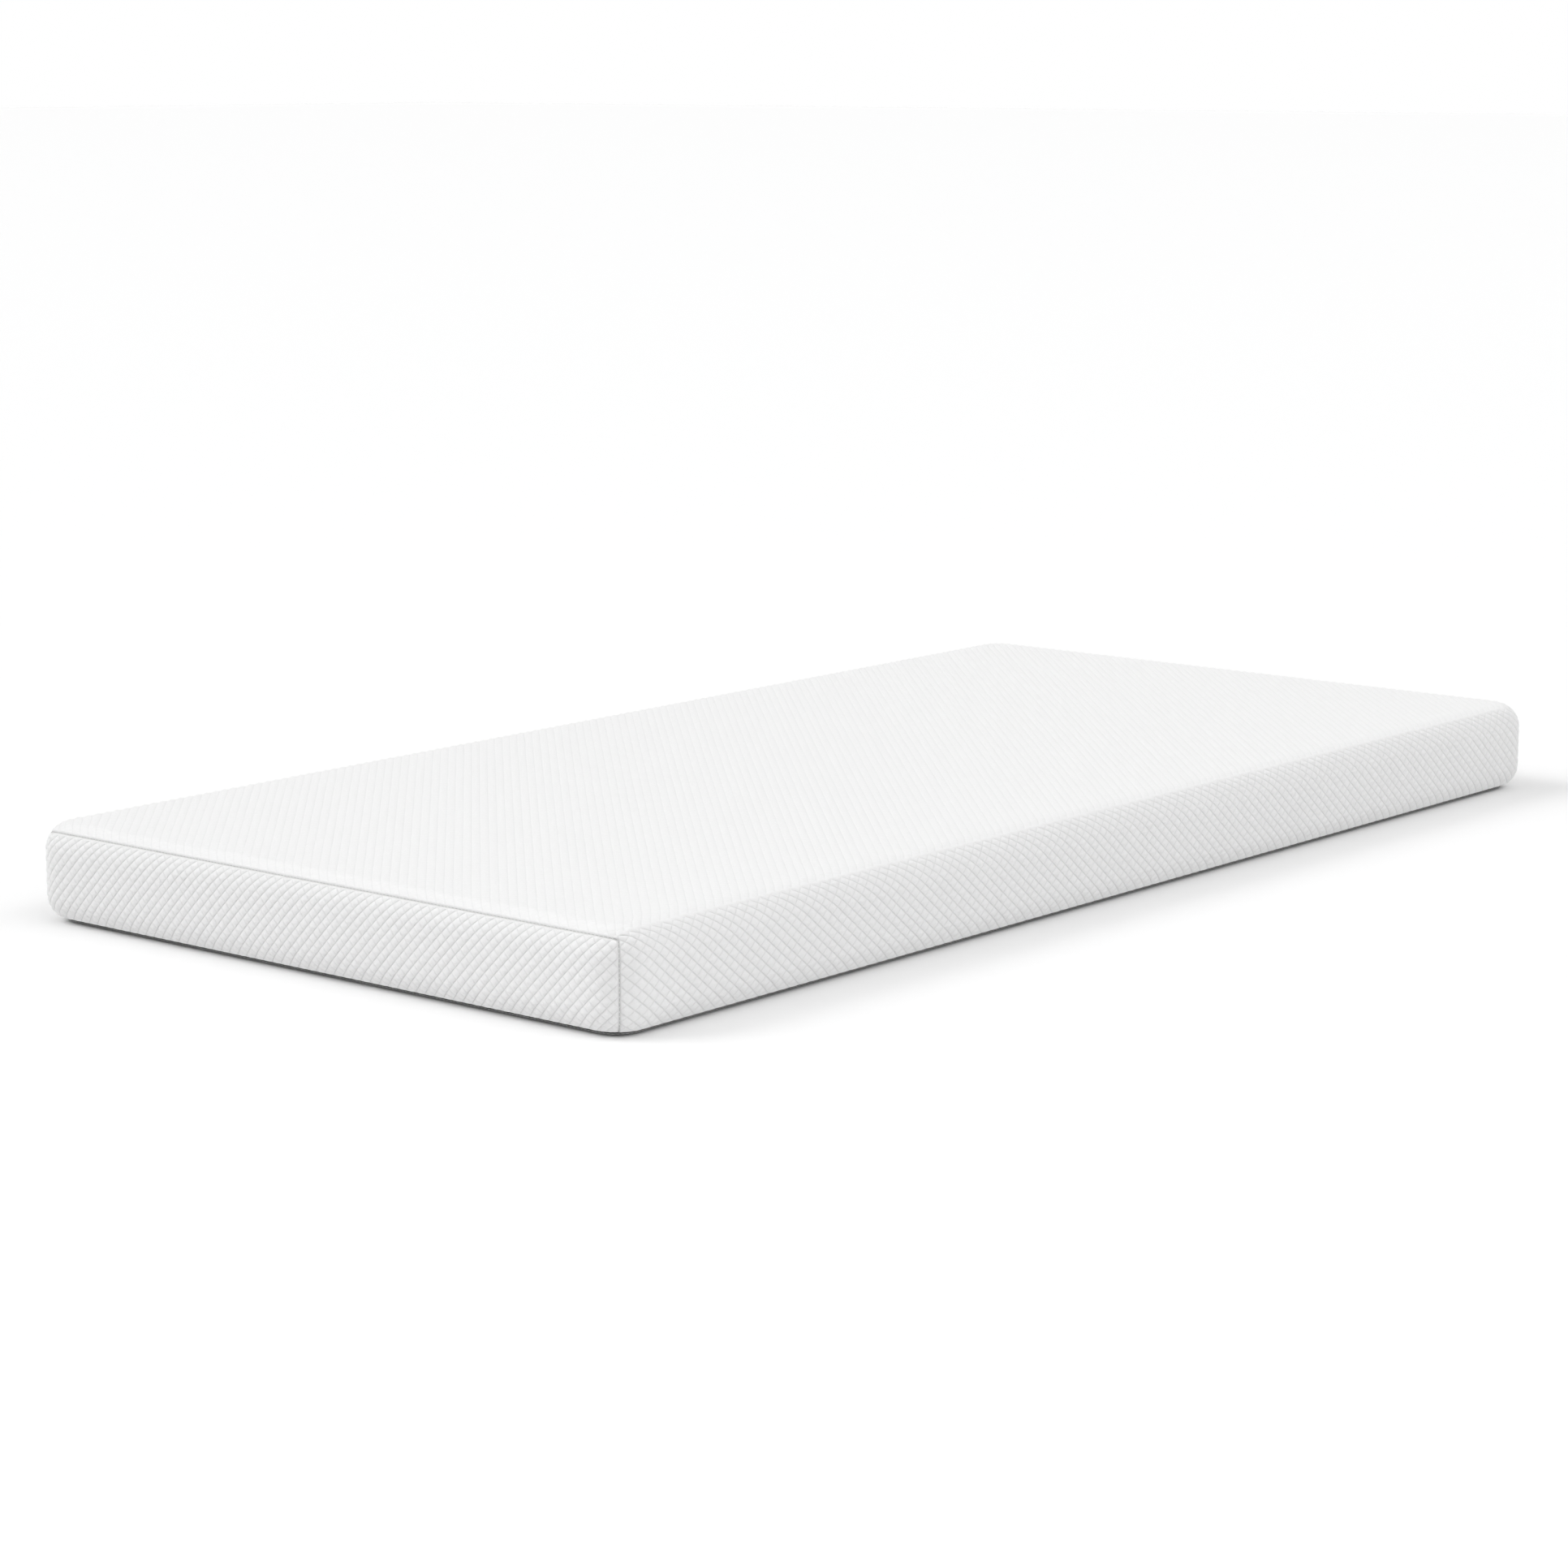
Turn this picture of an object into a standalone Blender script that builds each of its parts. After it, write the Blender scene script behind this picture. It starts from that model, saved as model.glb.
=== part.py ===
"""Memory foam mattress: a knit cover with a zip, over a fire sock and a foam core of two bonded layers.

Metres, +Z up. X runs across the width and Y along the length, with the head end at +Y.
The origin is on the floor, under the middle of the mattress.
"""

import math

import bmesh
import bpy

# Outside of the cover.
WIDTH = 1.000
LENGTH = 2.025
HEIGHT = 0.128
CORNER_RADIUS = 0.055  # of the outline, seen from above
EDGE_RADIUS = 0.036  # of the roll along the top and bottom edges
CORNER_STEPS = 8
EDGE_STEPS = 7
SMOOTH_BELOW = math.radians(35)  # faces that meet at less than this are shaded as one surface
SEARCH_END = 1e-6  # how closely a place on a seam is found
FAR = 2 * LENGTH  # reach of a cutter that goes past everything

# Layers, from the outside in.
GAP = 0.0003
COVER_THICK = 0.003
SOCK_THICK = 0.0012
BOND_THICK = 0.0005
MEMORY_FOAM_HEIGHT = 0.040

# The slit that the fire sock is pulled on through, across its underside.
SOCK_SLIT_LENGTH = 0.70
SOCK_SLIT_WIDTH = 0.012
SOCK_SLIT_Y = -0.60
SOCK_CUT_TOP = 0.02  # how high the slit's cutter reaches, well above the underside

# Seams of the cover. An end seam lies where a wedge cuts the rolled edges: the wedge's upright faces run
# in at 45 degrees from the outer corners, and its top face drops more slowly.
SEAM_TOP = 0.1218  # height of the wedge's top face at the end plane
SEAM_SLOPE = 0.33  # how far the top face drops for each metre inwards
SEAM_GROOVE = 0.0017
SEAM_THREAD = 0.0010
SEAM_TURN_RADIUS = 0.002
SEAM_SINK = 0.0006  # depth of the thread's centre below the fabric's face
THREAD_START_Z = 0.0065
THREAD_TURN_STEPS = 3
THREAD_CORNER_X = 0.440  # beyond this the seam along the top follows the rounded corner
THREAD_CORNER_STEPS = 6
THREAD_TOP_STEPS = 4
WEDGE_OUT = 0.03
WEDGE_IN = 0.05
WEDGE_BOTTOM = -0.01
BASE_SEAM_Z = 0.0030
BASE_GROOVE = 0.0012
BASE_THREAD = 0.0007

# Zip in the head end. It runs along X, and depths are measured in from the wall's outer face.
ZIP_Z = 0.050
ZIP_LENGTH = 0.860
ZIP_SLOT_HEIGHT = 0.013
ZIP_SLOT_END = 0.006  # from the last tooth to the end of the slot
ZIP_HEM_HEIGHT = 0.030
ZIP_HEM_END = 0.014
ZIP_HEM_DEPTH = 0.0017
ZIP_TAPE_DEPTH = 0.0021
ZIP_TAPE_THICK = 0.0008
ZIP_TAPE_WIDTH = 0.0138
ZIP_TAPE_END = 0.012
ZIP_HALF_GAP = 0.0006
ZIP_COIL_DEPTH = 0.0004
ZIP_COIL_THICK = 0.0014
ZIP_COIL_WIDTH = 0.0022
ZIP_STOP_LENGTH = 0.003
ZIP_STOP_WIDTH = 0.0026
ZIP_STITCH_Z = 0.0095  # from the middle of the zip
ZIP_STITCH_THREAD = 0.0006
ZIP_CUT_REACH = 0.02  # of the slot's cutters, in and out from the wall's face
COIL_BEVEL = 0.0005
STOP_BEVEL = 0.0003

# Slider and its pull tab.
SLIDER_LENGTH = 0.013
SLIDER_NOSE_WIDTH = 0.0094
SLIDER_TAIL_WIDTH = 0.0084
SLIDER_PLATE = 0.0011
SLIDER_FLANGE_DEPTH = 0.0017
SLIDER_CHANNEL_WIDTH = 0.0064
SLIDER_PARK = 0.010  # from the last tooth to the middle of the parked slider
SLIDER_INNER = 0.0001  # how far the plate's inner face is sunk below the wall's face
SLIDER_NOSE_CHAMFER = (0.0010, 0.0012)  # along the zip, and across it
SLIDER_TAIL_CHAMFER = 0.0006
METAL_BEVEL = 0.0002
CROWN_HALF_LENGTH = 0.0036
CROWN_FOOT = 0.0009
CROWN_HALF_WIDTH = 0.0010
CROWN_THICK = 0.0008
CROWN_ROOT = 0.0004  # how far the crown's feet reach into the plate
TAB_PIN = 0.0009  # diameter of the tab's end bar, which turns under the crown
TAB_LENGTH = 0.024
TAB_WIDTH = 0.0066
TAB_EYE_LENGTH = 0.0046
TAB_EYE_WIDTH = 0.0032
TAB_EYE_WALL = 0.0010  # beside the eye
TAB_SHOULDER = 0.009  # from the axis to where the tab is widest

# Blank label, sewn flat on the head end above the zip.
LABEL_WIDTH = 0.060
LABEL_HEIGHT = 0.023
LABEL_THICK = 0.0004
LABEL_X = 0.330
LABEL_Z = 0.0795
LABEL_STITCH_INSET = 0.0022
LABEL_THREAD = 0.0004

WALL_Y = LENGTH / 2

KNIT_WHITE = (0.87, 0.87, 0.86)
BASE_GREY = (0.25, 0.25, 0.25)
THREAD_WHITE = (0.78, 0.78, 0.77)
SOCK_WHITE = (0.85, 0.84, 0.80)
MEMORY_FOAM_CREAM = (0.90, 0.87, 0.78)
BASE_FOAM_WHITE = (0.86, 0.86, 0.84)
BOND_AMBER = (0.80, 0.72, 0.50)
ZIP_WHITE = (0.82, 0.82, 0.81)
METAL_GREY = (0.62, 0.62, 0.64)
LABEL_WHITE = (0.90, 0.90, 0.89)


def clear_scene():
    for obj in list(bpy.data.objects):
        bpy.data.objects.remove(obj)


def make_material(name, colour, roughness=0.9, metallic=0.0):
    material = bpy.data.materials.new(name)
    material.use_nodes = True
    shader = material.node_tree.nodes["Principled BSDF"]
    shader.inputs["Base Color"].default_value = (*colour, 1.0)
    shader.inputs["Roughness"].default_value = roughness
    shader.inputs["Metallic"].default_value = metallic
    return material


def add_object(name, data, colour=None, roughness=0.9, metallic=0.0):
    """Puts a mesh or a curve in the scene. Without a colour it is a cutter, no part of the mattress."""
    obj = bpy.data.objects.new(name, data)
    bpy.context.scene.collection.objects.link(obj)
    if colour is None:
        obj.hide_render = True
        obj.display_type = "WIRE"
    else:
        data.materials.append(make_material(name, colour, roughness, metallic))
    return obj


def mesh_from(bm, name, smooth=True):
    bmesh.ops.recalc_face_normals(bm, faces=bm.faces[:])
    mesh = bpy.data.meshes.new(name)
    bm.to_mesh(mesh)
    bm.free()
    if smooth:
        mesh.shade_smooth()
        mesh.set_sharp_from_angle(angle=SMOOTH_BELOW)
    return mesh


def box_mesh(name, low, high):
    bm = bmesh.new()
    bmesh.ops.create_cube(bm, size=1.0)
    for vert in bm.verts:
        vert.co = [(l + h) / 2 + c * (h - l) for c, l, h in zip(vert.co, low, high)]
    return mesh_from(bm, name, smooth=False)


def add_box(name, low, high, *look):
    return add_object(name, box_mesh(name, low, high), *look)


def cut(obj, cutter, operation="DIFFERENCE"):
    modifier = obj.modifiers.new(f"{operation.lower()} {cutter.name}", "BOOLEAN")
    modifier.object = cutter
    modifier.operation = operation


def bevel(obj, width, segments=2):
    modifier = obj.modifiers.new("rounded edges", "BEVEL")
    modifier.width = width
    modifier.segments = segments


def add_loops(bm, loops, reverse=False):
    """Skins a stack of closed loops of points, and closes both ends."""
    rings = [[bm.verts.new(point) for point in loop] for loop in loops]
    for lower, upper in zip(rings, rings[1:]):
        for i, vert in enumerate(lower):
            j = (i + 1) % len(lower)
            corners = [vert, lower[j], upper[j], upper[i]]
            bm.faces.new(corners[::-1] if reverse else corners)
    bm.faces.new(rings[0] if reverse else rings[0][::-1])
    bm.faces.new(rings[-1][::-1] if reverse else rings[-1])


def outline(inset, z, corner_steps=CORNER_STEPS):
    """The mattress's outline from above, drawn in by inset, as a loop of points at height z."""
    radius = CORNER_RADIUS - inset
    centre_x, centre_y = WIDTH / 2 - CORNER_RADIUS, LENGTH / 2 - CORNER_RADIUS
    points = []
    for quarter, (side_x, side_y) in enumerate(((1, 1), (-1, 1), (-1, -1), (1, -1))):
        for step in range(corner_steps + 1):
            angle = (quarter + step / corner_steps) * math.pi / 2
            x = side_x * centre_x + radius * math.cos(angle)
            y = side_y * centre_y + radius * math.sin(angle)
            points.append((x, y, z))
    return points


def rolled_levels(inset, low=None, high=None):
    """(inset, height) of each outline of a body whose rolled edges stay inset from the cover's outer face.

    A low or high limit cuts it off flat there, between the two rolls.
    """
    radius = EDGE_RADIUS - inset
    arc = [step / EDGE_STEPS * math.pi / 2 for step in range(EDGE_STEPS + 1)]
    lower = [
        (EDGE_RADIUS - radius * math.sin(a), EDGE_RADIUS - radius * math.cos(a)) for a in arc
    ]
    upper = [(i, HEIGHT - z) for i, z in reversed(lower)]
    if low is not None:
        lower = [(inset, low)]
    if high is not None:
        upper = [(inset, high)]
    return lower + upper


def add_rolled_body(bm, inset, low=None, high=None, reverse=False):
    levels = rolled_levels(inset, low, high)
    add_loops(bm, [outline(i, z) for i, z in levels], reverse)


def hollow_mesh(name, outer_inset, thickness):
    bm = bmesh.new()
    add_rolled_body(bm, outer_inset)
    add_rolled_body(bm, outer_inset + thickness, reverse=True)
    mesh = bpy.data.meshes.new(name)
    bm.to_mesh(mesh)
    bm.free()
    mesh.shade_smooth()
    mesh.set_sharp_from_angle(angle=SMOOTH_BELOW)
    return mesh


def wedge_arch(depth, clearance, bottom):
    """Outline of an end panel's wedge at this depth, as (x, z) points."""
    half = WIDTH / 2 - depth - clearance * math.sqrt(2)
    top = SEAM_TOP - SEAM_SLOPE * depth - clearance
    turn = SEAM_TURN_RADIUS
    points = [(half, bottom)]
    for step in range(CORNER_STEPS + 1):
        angle = step / CORNER_STEPS * math.pi / 2
        points.append((half - turn + turn * math.cos(angle), top - turn + turn * math.sin(angle)))
    return points + [(-x, z) for x, z in reversed(points)]


def add_wedge(name, side, clearance, bottom):
    """The wedge that holds an end panel, made larger or smaller by half of the seam's groove."""
    loops = []
    for depth in (-WEDGE_OUT, WEDGE_IN):
        y = side * (LENGTH / 2 - depth)
        loops.append([(x, y, z) for x, z in wedge_arch(depth, clearance, bottom)])
    bm = bmesh.new()
    add_loops(bm, loops)
    return add_object(name, mesh_from(bm, name, smooth=False))


def spaced(first, last, steps):
    """Evenly spaced values, before last, which starts the next stretch."""
    return [first + (last - first) * step / steps for step in range(steps)]


def wall_depth(x, z):
    """How far in from the end plane the cover's outer face lies, at this place on the end."""
    inset = 0.0
    from_edge = min(z, HEIGHT - z)
    if from_edge < EDGE_RADIUS:
        inset = EDGE_RADIUS - math.sqrt(EDGE_RADIUS**2 - (EDGE_RADIUS - from_edge) ** 2)
    across = abs(x) - (WIDTH / 2 - CORNER_RADIUS)
    if across <= 0:
        return inset
    radius = CORNER_RADIUS - inset
    return inset + radius - math.sqrt(max(radius**2 - across**2, 0.0))


def seam_point(place, side):
    """A point of the end seam, sunk into its groove. place gives the (x, z) on the wedge at a depth."""
    low, high = 0.0, WEDGE_IN
    while high - low > SEARCH_END:
        depth = (low + high) / 2
        if depth < wall_depth(*place(depth)):
            low = depth
        else:
            high = depth
    sunk = low + SEAM_SINK / math.sqrt(2)
    x, z = place(sunk)
    return (x, side * (LENGTH / 2 - sunk), z)


def end_seam_points(side):
    """An end seam: up one corner, round the turn and along the top edge, then the mirror image of that."""
    turn = SEAM_TURN_RADIUS

    def top(depth):
        return SEAM_TOP - SEAM_SLOPE * depth

    def up_the_corner(z):
        return lambda depth: (WIDTH / 2 - depth, z)

    def round_the_turn(angle):
        return lambda depth: (
            WIDTH / 2 - depth - turn * (1 - math.cos(angle)),
            top(depth) - turn * (1 - math.sin(angle)),
        )

    def along_the_top(x):
        return lambda depth: (x, top(depth))

    corner_top = seam_point(round_the_turn(0.0), side)[2]
    turn_x = seam_point(round_the_turn(math.pi / 2), side)[0]
    places = [up_the_corner(z) for z in spaced(THREAD_START_Z, corner_top, CORNER_STEPS)]
    places += [round_the_turn(a) for a in spaced(0.0, math.pi / 2, THREAD_TURN_STEPS)]
    places += [along_the_top(x) for x in spaced(turn_x, THREAD_CORNER_X, THREAD_CORNER_STEPS)]
    places += [along_the_top(x) for x in spaced(THREAD_CORNER_X, 0.0, THREAD_TOP_STEPS)]
    half = [seam_point(place, side) for place in places]
    middle = seam_point(along_the_top(0.0), side)
    return half + [middle] + [(-x, y, z) for x, y, z in reversed(half)]


def add_thread(name, points, diameter, colour, cyclic=False, sides=6):
    curve = bpy.data.curves.new(name, "CURVE")
    curve.dimensions = "3D"
    curve.bevel_depth = diameter / 2
    curve.bevel_resolution = (sides - 4) // 2
    curve.use_fill_caps = not cyclic
    spline = curve.splines.new("POLY")
    spline.points.add(len(points) - 1)
    for point, place in zip(spline.points, points):
        point.co = (*place, 1.0)
    spline.use_cyclic_u = cyclic
    return add_object(name, curve, colour, 0.8)


def cover_panels():
    """The four panels of the knit cover, cut from one hollow body along its seams."""
    clearance = SEAM_GROOVE / 2
    wall_bottom = BASE_SEAM_Z + BASE_GROOVE / 2
    skin = hollow_mesh("cover skin", 0.0, COVER_THICK)

    walls = add_box("cutter above the base seam", (-FAR, -FAR, wall_bottom), (FAR, FAR, FAR))
    foot_cut = add_wedge("cutter foot end", -1, -clearance, WEDGE_BOTTOM)
    head_cut = add_wedge("cutter head end", 1, -clearance, WEDGE_BOTTOM)
    foot_fit = add_wedge("cutter foot panel", -1, clearance, wall_bottom)
    head_fit = add_wedge("cutter head panel", 1, clearance, wall_bottom)

    top = add_object("cover_top", skin.copy(), KNIT_WHITE)
    cut(top, walls, "INTERSECT")
    cut(top, foot_cut)
    cut(top, head_cut)

    foot = add_object("foot_end_panel", skin.copy(), KNIT_WHITE)
    cut(foot, foot_fit, "INTERSECT")

    head = add_object("head_end_panel", skin.copy(), KNIT_WHITE)
    cut(head, head_fit, "INTERSECT")
    cut_zip_slot(head)

    base = add_object("cover_base", skin, BASE_GREY)
    below = add_box(
        "cutter below the base seam", (-FAR, -FAR, -FAR), (FAR, FAR, BASE_SEAM_Z - BASE_GROOVE / 2)
    )
    cut(base, below, "INTERSECT")


def cut_zip_slot(panel):
    """The slot that shows the zip, with a shallower step inside it where the tapes are sewn on."""
    half = ZIP_LENGTH / 2 + ZIP_SLOT_END
    slot = add_box(
        "cutter zip slot",
        (-half, WALL_Y - ZIP_CUT_REACH, ZIP_Z - ZIP_SLOT_HEIGHT / 2),
        (half, WALL_Y + ZIP_CUT_REACH, ZIP_Z + ZIP_SLOT_HEIGHT / 2),
    )
    half = ZIP_LENGTH / 2 + ZIP_HEM_END
    hem = add_box(
        "cutter zip hem",
        (-half, WALL_Y - ZIP_CUT_REACH, ZIP_Z - ZIP_HEM_HEIGHT / 2),
        (half, WALL_Y - ZIP_HEM_DEPTH, ZIP_Z + ZIP_HEM_HEIGHT / 2),
    )
    cut(panel, slot)
    cut(panel, hem)


def seam_threads():
    add_thread("foot_seam_thread", end_seam_points(-1), SEAM_THREAD, THREAD_WHITE)
    add_thread("head_seam_thread", end_seam_points(1), SEAM_THREAD, THREAD_WHITE)
    rise = EDGE_RADIUS - BASE_SEAM_Z
    inset = EDGE_RADIUS - math.sqrt(EDGE_RADIUS**2 - rise**2) + SEAM_SINK
    loop = outline(inset, BASE_SEAM_Z, corner_steps=6)
    add_thread("base_seam_thread", loop, BASE_THREAD, THREAD_WHITE, cyclic=True)


def fire_sock():
    sock = add_object(
        "fire_sock", hollow_mesh("fire sock", COVER_THICK + GAP, SOCK_THICK), SOCK_WHITE
    )
    slit = add_box(
        "cutter sock slit",
        (-SOCK_SLIT_LENGTH / 2, SOCK_SLIT_Y - SOCK_SLIT_WIDTH / 2, 0.0),
        (SOCK_SLIT_LENGTH / 2, SOCK_SLIT_Y + SOCK_SLIT_WIDTH / 2, SOCK_CUT_TOP),
    )
    cut(sock, slit)


def foam_core():
    """Base foam below, memory foam on top, and the film of glue between them."""
    inset = COVER_THICK + SOCK_THICK + 2 * GAP
    memory_bottom = HEIGHT - inset - MEMORY_FOAM_HEIGHT
    bond_bottom = memory_bottom - GAP - BOND_THICK
    layers = (
        ("base_foam_layer", None, bond_bottom - GAP, BASE_FOAM_WHITE),
        ("foam_bond_film", bond_bottom, bond_bottom + BOND_THICK, BOND_AMBER),
        ("memory_foam_layer", memory_bottom, None, MEMORY_FOAM_CREAM),
    )
    for name, low, high, colour in layers:
        bm = bmesh.new()
        add_rolled_body(bm, inset, low, high)
        add_object(name, mesh_from(bm, name), colour, 0.95)


def zip_chain():
    """Two tapes, each with its half of the coil, the stops at both ends, and the rows of stitching."""
    for side, word in ((1, "upper"), (-1, "lower")):

        def band(near, far):
            return sorted((ZIP_Z + side * near, ZIP_Z + side * far))

        low, high = band(ZIP_HALF_GAP, ZIP_HALF_GAP + ZIP_TAPE_WIDTH)
        half = ZIP_LENGTH / 2 + ZIP_TAPE_END
        face = WALL_Y - ZIP_TAPE_DEPTH
        add_box(f"zip_tape_{word}", (-half, face - ZIP_TAPE_THICK, low), (half, face, high), ZIP_WHITE)

        low, high = band(ZIP_HALF_GAP, ZIP_HALF_GAP + ZIP_COIL_WIDTH)
        half = ZIP_LENGTH / 2
        face = WALL_Y - ZIP_COIL_DEPTH
        coil = add_box(
            f"zip_coil_{word}", (-half, face - ZIP_COIL_THICK, low), (half, face, high), ZIP_WHITE, 0.4
        )
        bevel(coil, COIL_BEVEL)

        low, high = band(ZIP_HALF_GAP, ZIP_HALF_GAP + ZIP_STOP_WIDTH)
        start = half + GAP
        stop = add_box(
            f"zip_top_stop_{word}",
            (start, face - ZIP_COIL_THICK, low),
            (start + ZIP_STOP_LENGTH, face, high),
            METAL_GREY,
            0.35,
            1.0,
        )
        bevel(stop, STOP_BEVEL)

        z = ZIP_Z + side * ZIP_STITCH_Z
        y = WALL_Y + GAP + ZIP_STITCH_THREAD / 2
        half += ZIP_SLOT_END
        add_thread(f"zip_stitching_{word}", [(-half, y, z), (half, y, z)], ZIP_STITCH_THREAD, THREAD_WHITE)

    reach = ZIP_HALF_GAP + ZIP_STOP_WIDTH
    end = -ZIP_LENGTH / 2 - GAP
    face = WALL_Y - ZIP_COIL_DEPTH
    stop = add_box(
        "zip_bottom_stop",
        (end - ZIP_STOP_LENGTH, face - ZIP_COIL_THICK, ZIP_Z - reach),
        (end, face, ZIP_Z + reach),
        METAL_GREY,
        0.35,
        1.0,
    )
    bevel(stop, STOP_BEVEL)


def prism(name, points, low, high):
    """Extrudes an outline of (x, z) points along Y, from low to high."""
    bm = bmesh.new()
    add_loops(bm, [[(x, y, z) for x, z in points] for y in (low, high)])
    return mesh_from(bm, name, smooth=False)


def slider_x():
    return ZIP_LENGTH / 2 - SLIDER_PARK


def crown_bar_y():
    """The underside of the crown's bar, above the tab's end bar."""
    return SLIDER_PLATE - SLIDER_INNER + 2 * GAP + TAB_PIN


def zip_slider():
    """A plate over the coil with a flange down each side of it, and the crown that holds the pull tab."""
    half, nose, tail = SLIDER_LENGTH / 2, SLIDER_NOSE_WIDTH / 2, SLIDER_TAIL_WIDTH / 2
    chamfer_along, chamfer_across = SLIDER_NOSE_CHAMFER
    side = [
        (half, nose - chamfer_across),
        (half - chamfer_along, nose),
        (0.0, nose),
        (-half + SLIDER_TAIL_CHAMFER, tail),
        (-half, tail - SLIDER_TAIL_CHAMFER),
    ]
    points = side + [(x, -z) for x, z in reversed(side)]
    plate_face = SLIDER_PLATE - SLIDER_INNER
    slider = add_object(
        "zip_slider", prism("zip slider", points, -SLIDER_FLANGE_DEPTH, plate_face), METAL_GREY, 0.3, 1.0
    )
    channel = add_box(
        "cutter slider channel",
        (-SLIDER_LENGTH, -2 * SLIDER_FLANGE_DEPTH, -SLIDER_CHANNEL_WIDTH / 2),
        (SLIDER_LENGTH, -SLIDER_INNER, SLIDER_CHANNEL_WIDTH / 2),
    )
    top = crown_bar_y() + CROWN_THICK
    crown = add_box(
        "cutter crown",
        (-CROWN_HALF_LENGTH, plate_face - CROWN_ROOT, -CROWN_HALF_WIDTH),
        (CROWN_HALF_LENGTH, top, CROWN_HALF_WIDTH),
    )
    inside = CROWN_HALF_LENGTH - CROWN_FOOT
    crown_hole = add_box(
        "cutter crown hole",
        (-inside, plate_face, -2 * CROWN_HALF_WIDTH),
        (inside, crown_bar_y(), 2 * CROWN_HALF_WIDTH),
    )
    cut(crown, crown_hole)
    bevel(crown, METAL_BEVEL)
    cut(slider, channel)
    cut(slider, crown, "UNION")
    for obj in (slider, channel, crown, crown_hole):
        obj.location = (slider_x(), WALL_Y, ZIP_Z)


def zip_pull_tab():
    """A flat tab that lies along the zip. Its end bar, under the crown, is the axis it turns on."""
    half = TAB_WIDTH / 2
    pin = TAB_PIN / 2
    grip = TAB_LENGTH - half
    neck = TAB_EYE_WIDTH / 2 + TAB_EYE_WALL
    side = [(pin, neck), (-TAB_EYE_LENGTH, neck), (-TAB_SHOULDER, half)]
    for step in range(CORNER_STEPS + 1):
        angle = step / CORNER_STEPS * math.pi / 2
        side.append((-grip - half * math.sin(angle), half * math.cos(angle)))
    side[-1] = (-grip - half, 0.0)
    points = side + [(x, -z) for x, z in reversed(side[:-1])]
    tab = add_object("zip_pull_tab", prism("zip pull tab", points, -pin, pin), METAL_GREY, 0.3, 1.0)
    eye = add_box(
        "cutter tab eye",
        (-TAB_EYE_LENGTH, -TAB_PIN, -TAB_EYE_WIDTH / 2),
        (-pin, TAB_PIN, TAB_EYE_WIDTH / 2),
    )
    cut(tab, eye)
    bevel(tab, METAL_BEVEL)
    pivot = (slider_x(), WALL_Y + SLIDER_PLATE - SLIDER_INNER + GAP + pin, ZIP_Z)
    tab.location = pivot
    eye.location = pivot


def care_label():
    """A blank label, sewn down along all four edges."""
    half_x, half_z = LABEL_WIDTH / 2, LABEL_HEIGHT / 2
    face = WALL_Y + GAP + LABEL_THICK
    add_box(
        "care_label",
        (LABEL_X - half_x, WALL_Y + GAP, LABEL_Z - half_z),
        (LABEL_X + half_x, face, LABEL_Z + half_z),
        LABEL_WHITE,
        0.5,
    )
    reach_x, reach_z = half_x - LABEL_STITCH_INSET, half_z - LABEL_STITCH_INSET
    y = face + GAP + LABEL_THREAD / 2
    corners = ((1, 1), (-1, 1), (-1, -1), (1, -1))
    loop = [(LABEL_X + i * reach_x, y, LABEL_Z + k * reach_z) for i, k in corners]
    add_thread("label_stitching", loop, LABEL_THREAD, THREAD_WHITE, cyclic=True)


def main():
    clear_scene()
    cover_panels()
    seam_threads()
    fire_sock()
    foam_core()
    zip_chain()
    zip_slider()
    zip_pull_tab()
    care_label()


main()
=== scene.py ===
"""The looks of the memory foam mattress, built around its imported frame.

Metres, +Z up, X across the width, Y along the length with the head end at +Y, as in the frame.
The cover's panels are made flat, in the cloth's own two directions, and then laid on the rounded body.
"""

import math

import bmesh
import bpy
import numpy as np
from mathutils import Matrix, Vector


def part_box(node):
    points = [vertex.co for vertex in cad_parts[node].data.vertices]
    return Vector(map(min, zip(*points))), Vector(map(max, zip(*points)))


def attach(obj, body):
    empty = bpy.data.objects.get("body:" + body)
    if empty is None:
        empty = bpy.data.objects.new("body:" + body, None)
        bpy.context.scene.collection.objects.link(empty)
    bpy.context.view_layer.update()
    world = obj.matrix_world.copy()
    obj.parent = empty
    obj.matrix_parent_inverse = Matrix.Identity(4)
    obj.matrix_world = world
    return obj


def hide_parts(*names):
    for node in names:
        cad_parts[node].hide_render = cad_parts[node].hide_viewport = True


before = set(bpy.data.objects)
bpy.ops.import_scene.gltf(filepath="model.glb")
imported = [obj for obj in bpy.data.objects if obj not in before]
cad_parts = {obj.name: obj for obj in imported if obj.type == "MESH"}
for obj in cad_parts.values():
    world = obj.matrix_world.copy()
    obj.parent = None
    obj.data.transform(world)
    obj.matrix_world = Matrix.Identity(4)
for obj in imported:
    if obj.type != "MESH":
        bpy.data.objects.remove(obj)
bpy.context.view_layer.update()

# Outside of the cover.
HALF_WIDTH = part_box("cover_top")[1].x
HALF_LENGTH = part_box("head_end_panel")[1].y
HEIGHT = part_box("cover_top")[1].z
CORNER = 0.055  # radius of the outline, seen from above
ROLL = 0.036  # radius of the rolled edge along the top and the bottom
CORE = CORNER - ROLL
SIDE_START = HALF_WIDTH - CORNER  # where the outline's corners start, across and along
LENGTH_START = HALF_LENGTH - CORNER
FLAT_WIDTH = HALF_WIDTH - ROLL  # half of the flat part of the top
FLAT_LENGTH = HALF_LENGTH - ROLL
QUARTER = math.pi / 2

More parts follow.
